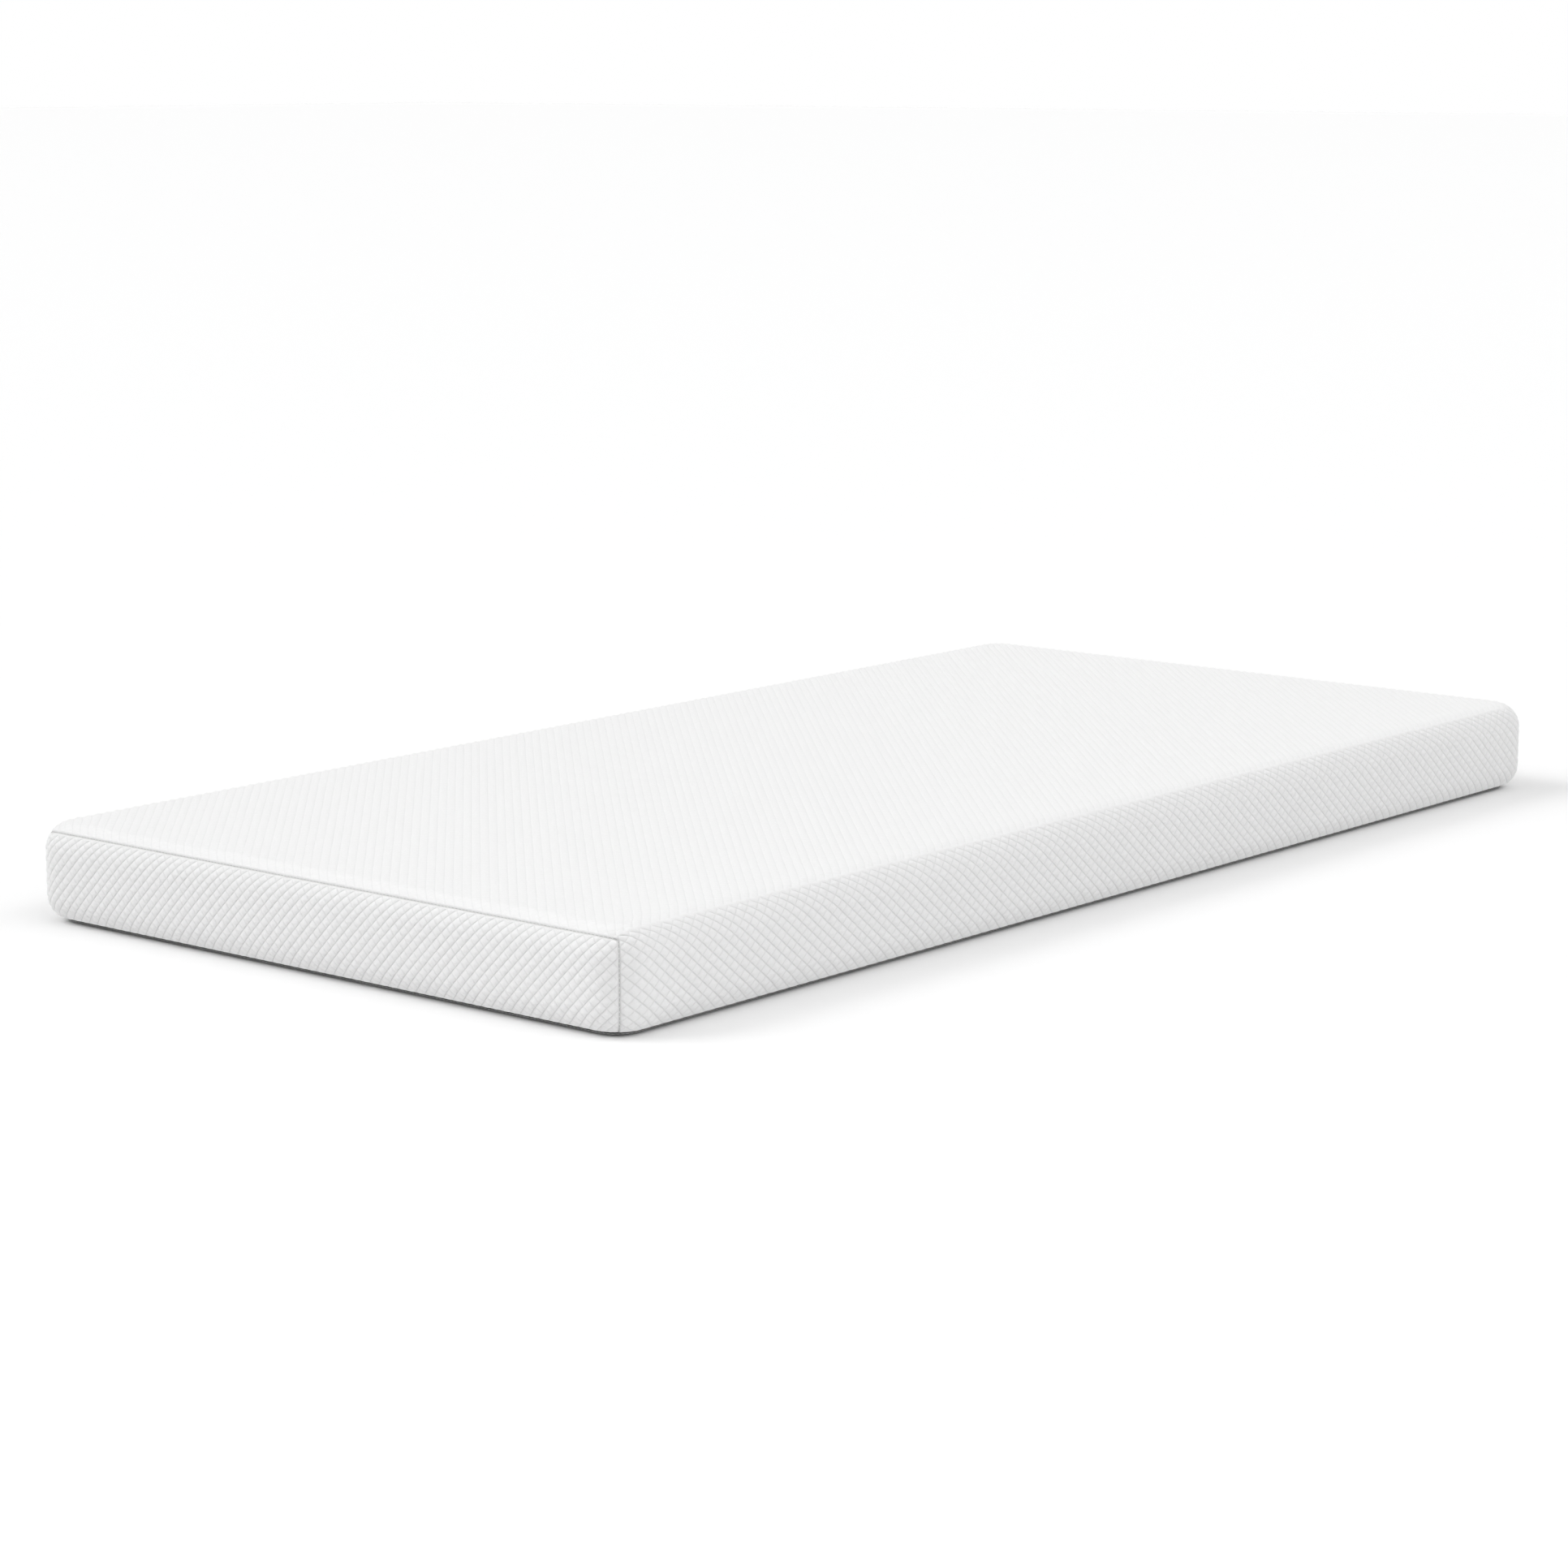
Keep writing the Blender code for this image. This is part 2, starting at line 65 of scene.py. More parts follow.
# Seams.
SEAM_SAG = 0.0009  # the base seam is pulled down this far by the weight of the core
WALL_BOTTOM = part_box("cover_top")[0].z - SEAM_SAG
BASE_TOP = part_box("cover_base")[1].z - SEAM_SAG
SEAM_TOP = 0.1218  # height, at the end plane, of the sloping plane that the seam's top run lies in
SEAM_SLOPE = 0.33
SEAM_TURN = 0.002
SEAM_HALF = 0.0004  # from the middle of a seam to the fold of the cloth
# How far each row of a folded edge is from the fold, and how far it is sunk.
FOLD_ROWS = ((0.0032, 0.0), (0.0017, 0.0002), (0.0007, 0.0007), (0.0001, 0.0016), (0.0, 0.0030))
PULL_REACH = 0.0032  # the seam pulls the cloth in, less and less as far as this and beyond
PULL_DEPTH = 0.0004
SEAM_STEPS = 400  # places at which the seam is worked out
SEAM_SEARCH = (0.02, 0.03)  # how far before the corners and beyond the ends it is looked for
HALVINGS = 40
STRETCH = 0.16  # length at each end over which the top's cloth is stretched to meet its seam

# The slot that shows the zip, in the head end's cloth.
SLOT_ROWS = ((0.0032, 0.0), (0.0017, 0.0002), (0.0007, 0.0006), (0.0001, 0.0012), (0.0, 0.0019))
ZIP_Z = (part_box("zip_coil_upper")[1].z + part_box("zip_coil_lower")[0].z) / 2
SLOT_HALF = (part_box("zip_stitching_upper")[1].x, 0.0065)

# Diamond pattern of the knit: the pitch of its grooves along each of the cloth's two directions.
TOP_PITCH = (0.01472, 0.01519)
SIDE_PITCH = (0.01484, 0.0186)
END_PITCH = (0.01503, 0.01484)
TOP_STEPS = (0.0, 0.5)  # where a diamond is divided, along each of its sides
SIDE_STEPS = (0.0, 0.25, 0.5, 0.75)
END_STEPS = (0.0, 0.25, 0.5, 0.75)
RELIEF = 0.0017
END_RELIEF = 0.0019
RIDGE_POWER = 0.6
CROSS_DEPTH = 0.8  # of the weaker grooves, which cross the ridges
PATTERN_CHANGE = math.radians(28)  # how far round the long edges' roll the side's pattern begins
PATTERN_GAP = 0.001  # half of the narrow strip between the two
PATTERN_FADE = 0.0018
FADED_RELIEF = 0.6
RELIEF_REACH = 0.003  # the pattern is flattened this near to an end seam
BASE_REACH = 0.014  # and this near to the base seam
TOP_MARKING = 0.35  # how clear the grooves' fine lines, a bump and a painted shade, are on the top, next to 1 on the walls
CLEAR_RELIEF = 0.02  # below this share of its height, the pattern counts as faded

# Give of the cover: the foam pushes it out between its seams.
PUFF = 0.0015
SIM_CELLS = (48, 96)
SIM_FRAMES = 16
SIM_MASS = 0.3
SIM_STIFFNESS = 30
SIM_DAMPING = 5
SIM_PRESSURE = 2

TINY = 1e-9
SAME_PLACE = 1e-6


def smooth(x):
    x = np.clip(x, 0.0, 1.0)
    return x * x * (3 - 2 * x)


# The body: a flat plate with rounded corners, thickened by ROLL all round.


def on_body(points):
    """The nearest points of the body's surface, and the normals there."""
    plan = np.abs(points[:, :2])
    start = np.array([SIDE_START, LENGTH_START])
    beyond = np.maximum(plan - start, 0.0)
    reach = np.linalg.norm(beyond, axis=1, keepdims=True)
    beyond *= np.minimum(1.0, CORE / np.maximum(reach, TINY))
    plate = np.empty_like(points)
    plate[:, :2] = np.sign(points[:, :2]) * (np.minimum(plan, start) + beyond)
    plate[:, 2] = np.clip(points[:, 2], ROLL, HEIGHT - ROLL)
    normals = points - plate
    normals /= np.maximum(np.linalg.norm(normals, axis=1, keepdims=True), TINY)
    return plate + ROLL * normals, normals


def wall_level(arc):
    """Inset and height of a place this far up the wall, measured along its surface."""
    low = np.clip((ROLL - arc) / ROLL, 0.0, QUARTER)
    high = np.clip((arc - HEIGHT + ROLL) / ROLL, 0.0, QUARTER)
    inset = ROLL * (2 - np.cos(low) - np.cos(high))
    height = np.clip(arc, ROLL, HEIGHT - ROLL) + ROLL * (np.sin(high) - np.sin(low))
    return inset, height


TOP_ARC = HEIGHT - ROLL + ROLL * QUARTER  # where the wall's surface becomes the flat top


def lay_top(across, along):
    """Places of the top panel's cloth: across is measured over the top and down the long sides."""
    far_across, far_along = np.abs(across), np.abs(along)
    inset, height = wall_level(TOP_ARC + FLAT_WIDTH - far_across)
    inset = inset + np.maximum(FLAT_WIDTH - far_across, 0.0)

    turn = np.clip((far_along - LENGTH_START) / CORNER, 0.0, QUARTER)
    ring = np.maximum(CORNER - inset, 0.0)
    x = HALF_WIDTH - np.maximum(inset, CORNER) + ring * np.cos(turn)
    y = np.minimum(far_along, LENGTH_START) + ring * np.sin(turn)
    round_the_corner = np.stack([x, y, height], axis=1)

    dip = np.clip((far_along - FLAT_LENGTH) / ROLL, 0.0, QUARTER)
    y = np.minimum(far_along, FLAT_LENGTH) + ROLL * np.sin(dip)
    over_the_end = np.stack([HALF_WIDTH - inset, y, height - ROLL * (1 - np.cos(dip))], axis=1)

    wall_start = FLAT_WIDTH + ROLL * QUARTER
    share = smooth((wall_start - far_across) / (wall_start - SIDE_START))[:, None]
    points = share * over_the_end + (1 - share) * round_the_corner
    points[:, 0] *= np.where(across < 0, -1.0, 1.0)
    points[:, 1] *= np.where(along < 0, -1.0, 1.0)
    return on_body(points)


def lay_end(across, arc, side):
    """Places of an end panel's cloth: across is measured round the corners, and arc up the wall."""
    inset, height = wall_level(arc)
    far = np.abs(across)
    turn = np.clip((far - SIDE_START) / CORNER, 0.0, QUARTER)
    ring = CORNER - inset
    x = np.where(across < 0, -1.0, 1.0) * (np.minimum(far, SIDE_START) + ring * np.sin(turn))
    y = side * (LENGTH_START + ring * np.cos(turn))
    return on_body(np.stack([x, y, height], axis=1))


def beyond_end_panel(points):
    """Distance from an end seam, in plan and height: above zero on the top panel's side of it."""
    depth = HALF_LENGTH - np.abs(points[:, 1])
    x = np.abs(points[:, 0]) - (HALF_WIDTH - depth - SEAM_TURN)
    z = points[:, 2] - (SEAM_TOP - SEAM_SLOPE * depth - SEAM_TURN)
    outside = np.hypot(np.maximum(x, 0.0), np.maximum(z, 0.0))
    return outside + np.minimum(np.maximum(x, z), 0.0) - SEAM_TURN


def bisect(sign, low, high):
    """Where sign(values) goes from above zero to below it, between low and high."""
    for _ in range(HALVINGS):
        middle = (low + high) / 2
        above = sign(middle) > 0
        low, high = np.where(above, middle, low), np.where(above, high, middle)
    return (low + high) / 2


# Sizes of the panels, measured along the cloth.
END_REACH = SIDE_START + CORNER * math.pi / 4
ARC_BOTTOM = ROLL - ROLL * math.asin((ROLL - WALL_BOTTOM) / ROLL)
TOP_REACH = TOP_ARC + FLAT_WIDTH - ARC_BOTTOM
SEAM_TABLE = np.linspace(0.0, TOP_REACH, SEAM_STEPS)
SEAM_ALONG = bisect(
    lambda along: beyond_end_panel(lay_top(SEAM_TABLE, along)[0]),
    np.full(SEAM_STEPS, LENGTH_START - SEAM_SEARCH[0]),
    np.full(SEAM_STEPS, HALF_LENGTH + SEAM_SEARCH[1]),
)
TOP_LENGTH = float(SEAM_ALONG[0])
STRETCH_START = TOP_LENGTH - STRETCH


def end_seam_arc(across):
    """How far up the wall an end seam lies, at this distance across an end panel."""
    across = np.asarray(across, float)

    def sign(arc):
        return -beyond_end_panel(lay_end(across, arc, 1)[0])

    return bisect(sign, np.full(across.shape, HEIGHT - 2 * ROLL), np.full(across.shape, TOP_ARC))


# Flat meshes.


def add_object(name, mesh):
    obj = bpy.data.objects.new(name, mesh)
    bpy.context.scene.collection.objects.link(obj)
    return obj


def add_to_bmesh(bm, points, faces):
    mesh = bpy.data.meshes.new("part")
    mesh.from_pydata(points, [], faces)
    bm.from_mesh(mesh)
    bpy.data.meshes.remove(mesh)


def lattice(pitch, steps, low, high):
    """A flat bmesh of the pattern's diamonds, each divided at steps, clipped to a box."""
    reach = max(abs(low[0]), abs(high[0])) / pitch[0] + max(abs(low[1]), abs(high[1])) / pitch[1]
    count = math.ceil(reach) + 1
    lines = (np.arange(-count, count)[:, None] + np.array(steps)).ravel()
    rising, falling = np.meshgrid(lines, lines, indexing="ij")
    u, v = pitch[0] * (rising + falling) / 2, pitch[1] * (rising - falling) / 2
    quads = grid_quads(u.shape)
    places = np.stack([u.ravel(), v.ravel()], axis=1)
    middle = places[quads].mean(axis=1)
    inside = ((middle > np.array(low) - pitch) & (middle < np.array(high) + pitch)).all(axis=1)
    used, quads = np.unique(quads[inside], return_inverse=True)
    places = places[used]
    bm = bmesh.new()
    add_to_bmesh(bm, np.column_stack([places, np.zeros(len(places))]), quads.reshape(-1, 4))
    corners = ((high[0], 0, 1, 0), (low[0], 0, -1, 0), (0, high[1], 0, 1), (0, low[1], 0, -1))
    for x, y, out_x, out_y in corners:
        clip(bm, (x, y), (out_x, out_y))
    return bm


def grid_quads(shape):
    index = np.arange(shape[0] * shape[1]).reshape(shape)
    quads = np.stack([index[:-1, :-1], index[1:, :-1], index[1:, 1:], index[:-1, 1:]], axis=-1)
    return quads.reshape(-1, 4)


def cut(bm, place, outward, remove=False):
    """Cuts a bmesh along a plane, and can remove what is on its outward side."""
    everything = bm.verts[:] + bm.edges[:] + bm.faces[:]
    plane = {"plane_co": place, "plane_no": outward}
    bmesh.ops.bisect_plane(bm, geom=everything, dist=SAME_PLACE, clear_outer=remove, **plane)


def clip(bm, place, outward, remove=True):
    """Cuts a flat bmesh along a line, and removes what is on its outward side."""
    cut(bm, (*place, 0), (*outward, 0), remove)


def append(bm, other):
    mesh = bpy.data.meshes.new("joined")
    other.to_mesh(mesh)
    other.free()
    bm.from_mesh(mesh)
    bpy.data.meshes.remove(mesh)


def stitch_columns(bm, left, right):
    """Fills the narrow strip between two columns of vertices, whose heights differ, with triangles."""
    columns = []
    for place in (left, right):
        column = [v for v in bm.verts if abs(v.co.x - place) < SAME_PLACE]
        columns.append(sorted(column, key=lambda v: v.co.y))
    a, b = columns
    i = j = 0
    while i < len(a) - 1 or j < len(b) - 1:
        if j == len(b) - 1 or (i < len(a) - 1 and a[i + 1].co.y <= b[j + 1].co.y):
            bm.faces.new((a[i], b[j], a[i + 1]))
            i += 1
        else:
            bm.faces.new((a[i], b[j], b[j + 1]))
            j += 1


def fold_edge(bm, middle, half, rows, inner=False):
    """Adds the rows of a folded edge round a flat bmesh, or round a hole in it.

    The bmesh ends the first row's distance short of the fold, which is at half from the middle.
    """
    sink = bm.verts.layers.float.get("sink") or bm.verts.layers.float.new("sink")
    towards = -1 if inner else 1
    edges = [e for e in bm.edges if e.is_boundary]
    if inner:
        edges = [
            e
            for e in edges
            if all(abs(v.co[axis] - middle[axis]) < 2 * half[axis] for v in e.verts for axis in (0, 1))
            and not any(v[sink] for v in e.verts)
        ]
    before = rows[0][0]
    for inward, depth in rows[1:]:
        grown = bmesh.ops.extrude_edge_only(bm, edges=edges)["geom"]
        edges = [g for g in grown if isinstance(g, bmesh.types.BMEdge) and g.is_boundary]
        verts = [g for g in grown if isinstance(g, bmesh.types.BMVert)]
        for vert in verts:
            for axis in (0, 1):
                share = (half[axis] - towards * inward) / (half[axis] - towards * before)
                vert.co[axis] = middle[axis] + (vert.co[axis] - middle[axis]) * share
            vert[sink] = depth
        before = inward


def cut_hole(bm, middle, half, rows):
    """Cuts a rectangular hole in a flat bmesh and folds its edge in."""
    reach = [h + rows[0][0] for h in half]
    for axis in (0, 1):
        for way in (-1, 1):
            place, outward = [0, 0], [0, 0]
            place[axis], outward[axis] = middle[axis] + way * reach[axis], way
            clip(bm, place, outward, remove=False)
    inside = []
    for face in bm.faces:
        centre = face.calc_center_median()
        if all(abs(centre[axis] - middle[axis]) < reach[axis] for axis in (0, 1)):
            inside.append(face)
    bmesh.ops.delete(bm, geom=inside, context="FACES")
    fold_edge(bm, middle, half, rows, inner=True)


def waves(phase):
    """0 in the grooves, at whole phases, and 1 halfway between them."""
    return np.abs(np.sin(math.pi * phase)) ** RIDGE_POWER


def phases(u, v, pitch):
    return u / pitch[0] + v / pitch[1], u / pitch[0] - v / pitch[1]


def relief_at(strong, weak):
    """Height of the pattern: ridges between the strong grooves, crossed by the weak ones."""
    return waves(strong) * (1 - CROSS_DEPTH * (1 - waves(weak)))


def simulate(lay, low, high):
    """A bulge for each place of a grid on the cloth, from 0 at the edges to 1: the panel is held all round
    and the foam pushes it out, and keeps it from going in."""
    spans = [np.linspace(low[i], high[i], SIM_CELLS[i] + 1) for i in (0, 1)]
    u, v = np.meshgrid(*spans, indexing="ij")
    before, normals = lay(u.ravel(), v.ravel())
    mesh = bpy.data.meshes.new("held cloth")
    mesh.from_pydata(before, [], grid_quads(u.shape))
    obj = add_object("held cloth", mesh)
    index = np.arange(u.size).reshape(u.shape)
    held = np.unique(np.concatenate([index[0], index[-1], index[:, 0], index[:, -1]]))
    group = obj.vertex_groups.new(name="held")
    group.add(held.tolist(), 1.0, "REPLACE")
    modifier = obj.modifiers.new("cloth", "CLOTH")
    cloth = modifier.settings
    cloth.vertex_group_mass = "held"
    cloth.mass = SIM_MASS
    cloth.tension_stiffness = cloth.compression_stiffness = SIM_STIFFNESS
    cloth.air_damping = SIM_DAMPING
    cloth.effector_weights.gravity = 0
    cloth.use_pressure = True
    faces_out = mesh.polygons[0].normal.dot(Vector(normals[0])) > 0
    cloth.uniform_pressure_force = SIM_PRESSURE if faces_out else -SIM_PRESSURE
    modifier.point_cache.frame_end = SIM_FRAMES
    for number in range(1, SIM_FRAMES + 1):
        bpy.context.scene.frame_set(number)
    shaped = obj.evaluated_get(bpy.context.evaluated_depsgraph_get()).to_mesh()
    after = np.empty(before.size)
    shaped.vertices.foreach_get("co", after)
    bulge = ((after.reshape(-1, 3) - before) * normals).sum(axis=1).reshape(u.shape)
    bpy.context.scene.frame_set(1)
    bpy.data.objects.remove(obj)
    bpy.data.meshes.remove(mesh)
    bulge = np.maximum(bulge, 0.0)
    return spans, bulge / bulge.max()


LAST_SHARE = 0.001  # keeps the last places just inside the grid's last cells
ON_LINE = 1e-4


def bulge_at(bulge, u, v):
    """The simulated bulge at these places, between those of the grid."""
    if bulge is None:
        return np.zeros(len(u))
    (us, vs), values = bulge
    i = np.clip((u - us[0]) / (us[1] - us[0]), 0, len(us) - 1 - LAST_SHARE)
    j = np.clip((v - vs[0]) / (vs[1] - vs[0]), 0, len(vs) - 1 - LAST_SHARE)
    a, b = i.astype(int), j.astype(int)
    i, j = i - a, j - b
    near = values[a, b] * (1 - j) + values[a, b + 1] * j
    far = values[a + 1, b] * (1 - j) + values[a + 1, b + 1] * j
    return near * (1 - i) + far * i


def on_line(mesh, phase, raised):
    """Which edges lie in a groove of the pattern, and not in a place where the pattern has faded."""
    pairs = np.empty(len(mesh.edges) * 2, np.int32)
    mesh.edges.foreach_get("vertices", pairs)
    ends = phase[pairs.reshape(-1, 2)]
    nearest = np.round(ends)
    whole = (np.abs(ends - nearest) < ON_LINE).all(axis=1)
    clear = (raised[pairs.reshape(-1, 2)] > CLEAR_RELIEF).all(axis=1)
    return whole & clear & (nearest[:, 0] == nearest[:, 1])


def finish_cloth(name, bm, lay, pattern_at, edge_distance, bulge, relief_height):
    """Lays a flat bmesh on the body, raises its pattern, and keeps its flat places as a UV map."""
    bmesh.ops.recalc_face_normals(bm, faces=bm.faces[:])
    mesh = bpy.data.meshes.new(name)
    bm.to_mesh(mesh)
    bm.free()
    flat = np.empty(len(mesh.vertices) * 3)
    mesh.vertices.foreach_get("co", flat)
    flat = flat.reshape(-1, 3)
    u, v = flat[:, 0], flat[:, 1]
    sink = np.empty(len(flat))
    mesh.attributes["sink"].data.foreach_get("value", sink)
    mesh.attributes.remove(mesh.attributes["sink"])
    points, normals = lay(u, v)
    away, above_base = edge_distance(u, v)
    strong, weak, fade, marked = pattern_at(u, v)
    raised = fade * smooth(away / RELIEF_REACH) * smooth(above_base / BASE_REACH)
    relief = relief_at(strong, weak) * raised + (1 - fade) * FADED_RELIEF
    pull = PULL_DEPTH * np.exp(-away / PULL_REACH)
    offset = relief_height * (relief - 1) - pull - sink + PUFF * bulge_at(bulge, u, v)
    points += offset[:, None] * normals
    mesh.vertices.foreach_set("co", points.ravel())
    mesh.shade_smooth()
    mesh.attributes.new("grooves", "FLOAT", "POINT").data.foreach_set("value", raised * marked)
    sharp = on_line(mesh, strong, raised) | on_line(mesh, weak, raised)
    mesh.attributes.new("sharp_edge", "BOOLEAN", "EDGE").data.foreach_set("value", sharp)
    corners = np.empty(len(mesh.loops), np.int32)
    mesh.loops.foreach_get("vertex_index", corners)
    for layer, values in (("cloth", flat[:, :2]), ("pattern", np.stack([strong, weak], axis=1))):
        mesh.uv_layers.new(name=layer).data.foreach_set("uv", values[corners].ravel())
    mesh.update()
    first = mesh.polygons[len(mesh.polygons) // 2]
    _, outward = on_body(np.array([first.center]))
    if Vector(outward[0]).dot(first.normal) < 0:
        mesh.flip_normals()
    return add_object(name, mesh)


def top_panel():
    first = FOLD_ROWS[0][0]
    split = FLAT_WIDTH + ROLL * PATTERN_CHANGE
    gap = PATTERN_GAP
    half = (TOP_REACH, TOP_LENGTH - SEAM_HALF)
    low, high = -(half[1] - first), half[1] - first
    bm = lattice(TOP_PITCH, TOP_STEPS, (-(split - gap), low), (split - gap, high))
    for side in (-1, 1):
        edges = sorted((side * (split + gap), side * (half[0] - first)))
        append(bm, lattice(SIDE_PITCH, SIDE_STEPS, (edges[0], low), (edges[1], high)))
    stitch_columns(bm, -split - gap, -split + gap)
    stitch_columns(bm, split - gap, split + gap)
    fold_edge(bm, (0, 0), half, FOLD_ROWS)

    def lay(u, v):
        share = smooth((np.abs(v) - STRETCH_START) / (TOP_LENGTH - STRETCH_START))
        seam = np.interp(np.abs(u), SEAM_TABLE, SEAM_ALONG)
        return lay_top(u, v + np.sign(v) * share * (seam - TOP_LENGTH))

    def pattern_at(u, v):
        fade = smooth((np.abs(np.abs(u) - split) - gap) / PATTERN_FADE)
        on_top = np.abs(u) < split
        rising, falling = phases(u, v, TOP_PITCH)
        side_rising, side_falling = phases(u, v, SIDE_PITCH)
        # The side's ridges run the same way round both long sides, and so mirror each other in u.
        strong = np.where(on_top, rising, np.where(u > 0, side_falling, side_rising))
        weak = np.where(on_top, falling, np.where(u > 0, side_rising, side_falling))
        return strong, weak, fade, np.where(on_top, TOP_MARKING, 1.0)

    def away(u, v):
        return np.minimum(half[0] - np.abs(u), half[1] - np.abs(v)), half[0] - np.abs(u)

    bulge = simulate(lay, [-h for h in half], half)
    return finish_cloth("cover_top_knit", bm, lay, pattern_at, away, bulge, RELIEF)


BEND_START = 0.030  # how far before its corner an end panel's top edge starts to bend down
BEND_TIGHT = 0.004  # and how far before it the bend is at its tightest
SHORT = 1e-5


def end_panel(side, name):
    bottom, top = ARC_BOTTOM, float(end_seam_arc([0.0])[0]) - SEAM_HALF
    middle = (0.0, (bottom + top) / 2)
    half = (END_REACH - SEAM_HALF, (top - bottom) / 2)
    first = FOLD_ROWS[0][0]
    scale = [(h - first) / h for h in half]
    low = (-half[0] * scale[0], middle[1] - half[1] * scale[1])
    high = (half[0] * scale[0], middle[1] + half[1] * scale[1])
    bm = lattice(END_PITCH, END_STEPS, low, high)
    slow = np.linspace(half[0] - BEND_START, half[0] - BEND_TIGHT, 14)[:-1]
    tight = np.linspace(half[0] - BEND_TIGHT, half[0] - SHORT, 10)
    across = np.concatenate([slow, tight])
    arcs = end_seam_arc(across) - SEAM_HALF
    for i in range(len(across) - 1):
        ends = []
        for k in (i, i + 1):
            ends.append(Vector((across[k] * scale[0], middle[1] + (arcs[k] - middle[1]) * scale[1])))
        along = ends[1] - ends[0]
        for mirror in (1, -1):
            clip(bm, (ends[0].x * mirror, ends[0].y), (-along.y * mirror, along.x))
    fold_edge(bm, middle, half, FOLD_ROWS)
    if side > 0:
        cut_hole(bm, (0.0, ZIP_Z), SLOT_HALF, SLOT_ROWS)

    def lay(u, v):
        return lay_end(u, v, side)

    def pattern_at(u, v):
        rising, falling = phases(u, v, END_PITCH)
        # Seen from outside, the head end's cloth runs the other way across.
        everywhere = np.ones(len(u))
        order = (falling, rising) if side < 0 else (rising, falling)
        return *order, everywhere, everywhere

    def away(u, v):
        seam = np.interp(np.abs(u), across, arcs)
        distance = np.minimum.reduce([half[0] - np.abs(u), v - bottom, seam - v])
        if side > 0:
            outside = [np.maximum(np.abs(p) - h, 0) for p, h in zip((u, v - ZIP_Z), SLOT_HALF)]
            distance = np.minimum(distance, np.hypot(*outside))
        return distance, v - bottom

    bulge = simulate(lay, (-half[0], bottom), (half[0], top)) if side < 0 else None
    return finish_cloth(name, bm, lay, pattern_at, away, bulge, END_RELIEF)


# Threads.


def tubes(name, paths, outward, radius, sides=6):
    """Equal tubes along paths of shape (count, steps, 3), with radius for each step. outward is a direction
    across the path at each of its points."""
    count, steps, _ = paths.shape
    along = np.gradient(paths, axis=1)
    along /= np.linalg.norm(along, axis=2, keepdims=True)
    sideways = np.cross(along, outward)
    sideways /= np.linalg.norm(sideways, axis=2, keepdims=True)
    up = np.cross(sideways, along)
    angle = np.arange(sides) / sides * 2 * math.pi
    ring = np.cos(angle)[:, None] * up[:, :, None] + np.sin(angle)[:, None] * sideways[:, :, None]
    places = paths[:, :, None] + np.reshape(radius, (1, -1, 1, 1)) * ring
    index = np.arange(count * steps * sides).reshape(count, steps, sides)
    turned = np.roll(index, -1, axis=2)
    quads = np.stack([index[:, :-1], turned[:, :-1], turned[:, 1:], index[:, 1:]], axis=-1)
    faces = quads.reshape(-1, 4).tolist() + index[:, 0, ::-1].tolist() + index[:, -1].tolist()
    mesh = bpy.data.meshes.new(name)
    mesh.from_pydata(places.reshape(-1, 3), [], faces)
    mesh.shade_smooth()
    return add_object(name, mesh)


STITCH_SHAPE = np.array([0.0, 0.12, 0.35, 0.65, 0.88, 1.0])  # places along a stitch
STITCH_DIVE = 1.6  # how far its ends go down, in radii
STITCH_TAPER = 1.9  # how soon it thins towards its ends
STITCH_THIN = 0.1  # and the least that is left of its section there


def stitches(name, path, outward, length, gap, radius):
    """A row of separate stitches along a path, each going down into the cloth at both ends."""
    steps = np.linalg.norm(np.diff(path, axis=0), axis=1)
    far = np.concatenate([[0.0], np.cumsum(steps)])
    count = int(far[-1] // (length + gap))
    starts = np.arange(count) * far[-1] / count
    places = starts[:, None] + STITCH_SHAPE * length

    def along(values):
        return np.stack([np.interp(places, far, values[:, axis]) for axis in range(3)], axis=-1)

    up = along(outward)
    dive = radius * STITCH_DIVE * (np.abs(2 * STITCH_SHAPE - 1) ** 3)
    paths = along(path) - dive[:, None] * up
    thick = radius * np.sqrt(np.clip(1 - (STITCH_TAPER * (STITCH_SHAPE - 0.5)) ** 6, STITCH_THIN, 1))
    return tubes(name, paths, up, thick)


SEAM_BEND = 0.006  # length of the end seam's tight bend at the top of each corner


def end_seam_path(side):
    """Places along an end seam, from the foot of one corner over the top to the foot of the other."""
    reach = END_REACH - SHORT
    near = np.linspace(reach - SEAM_BEND, reach, 60)
    across = np.concatenate([near[::-1], np.linspace(reach - SEAM_BEND, 0, 400)[1:]])
    arcs = end_seam_arc(across)
    up_corner = np.linspace(ARC_BOTTOM, arcs[0], 80)[:-1]
    across = np.concatenate([np.full(len(up_corner), END_REACH), across])
    arcs = np.concatenate([up_corner, arcs])
    across = np.concatenate([across, -across[-2::-1]])
    arcs = np.concatenate([arcs, arcs[-2::-1]])
    return lay_end(across, arcs, side)


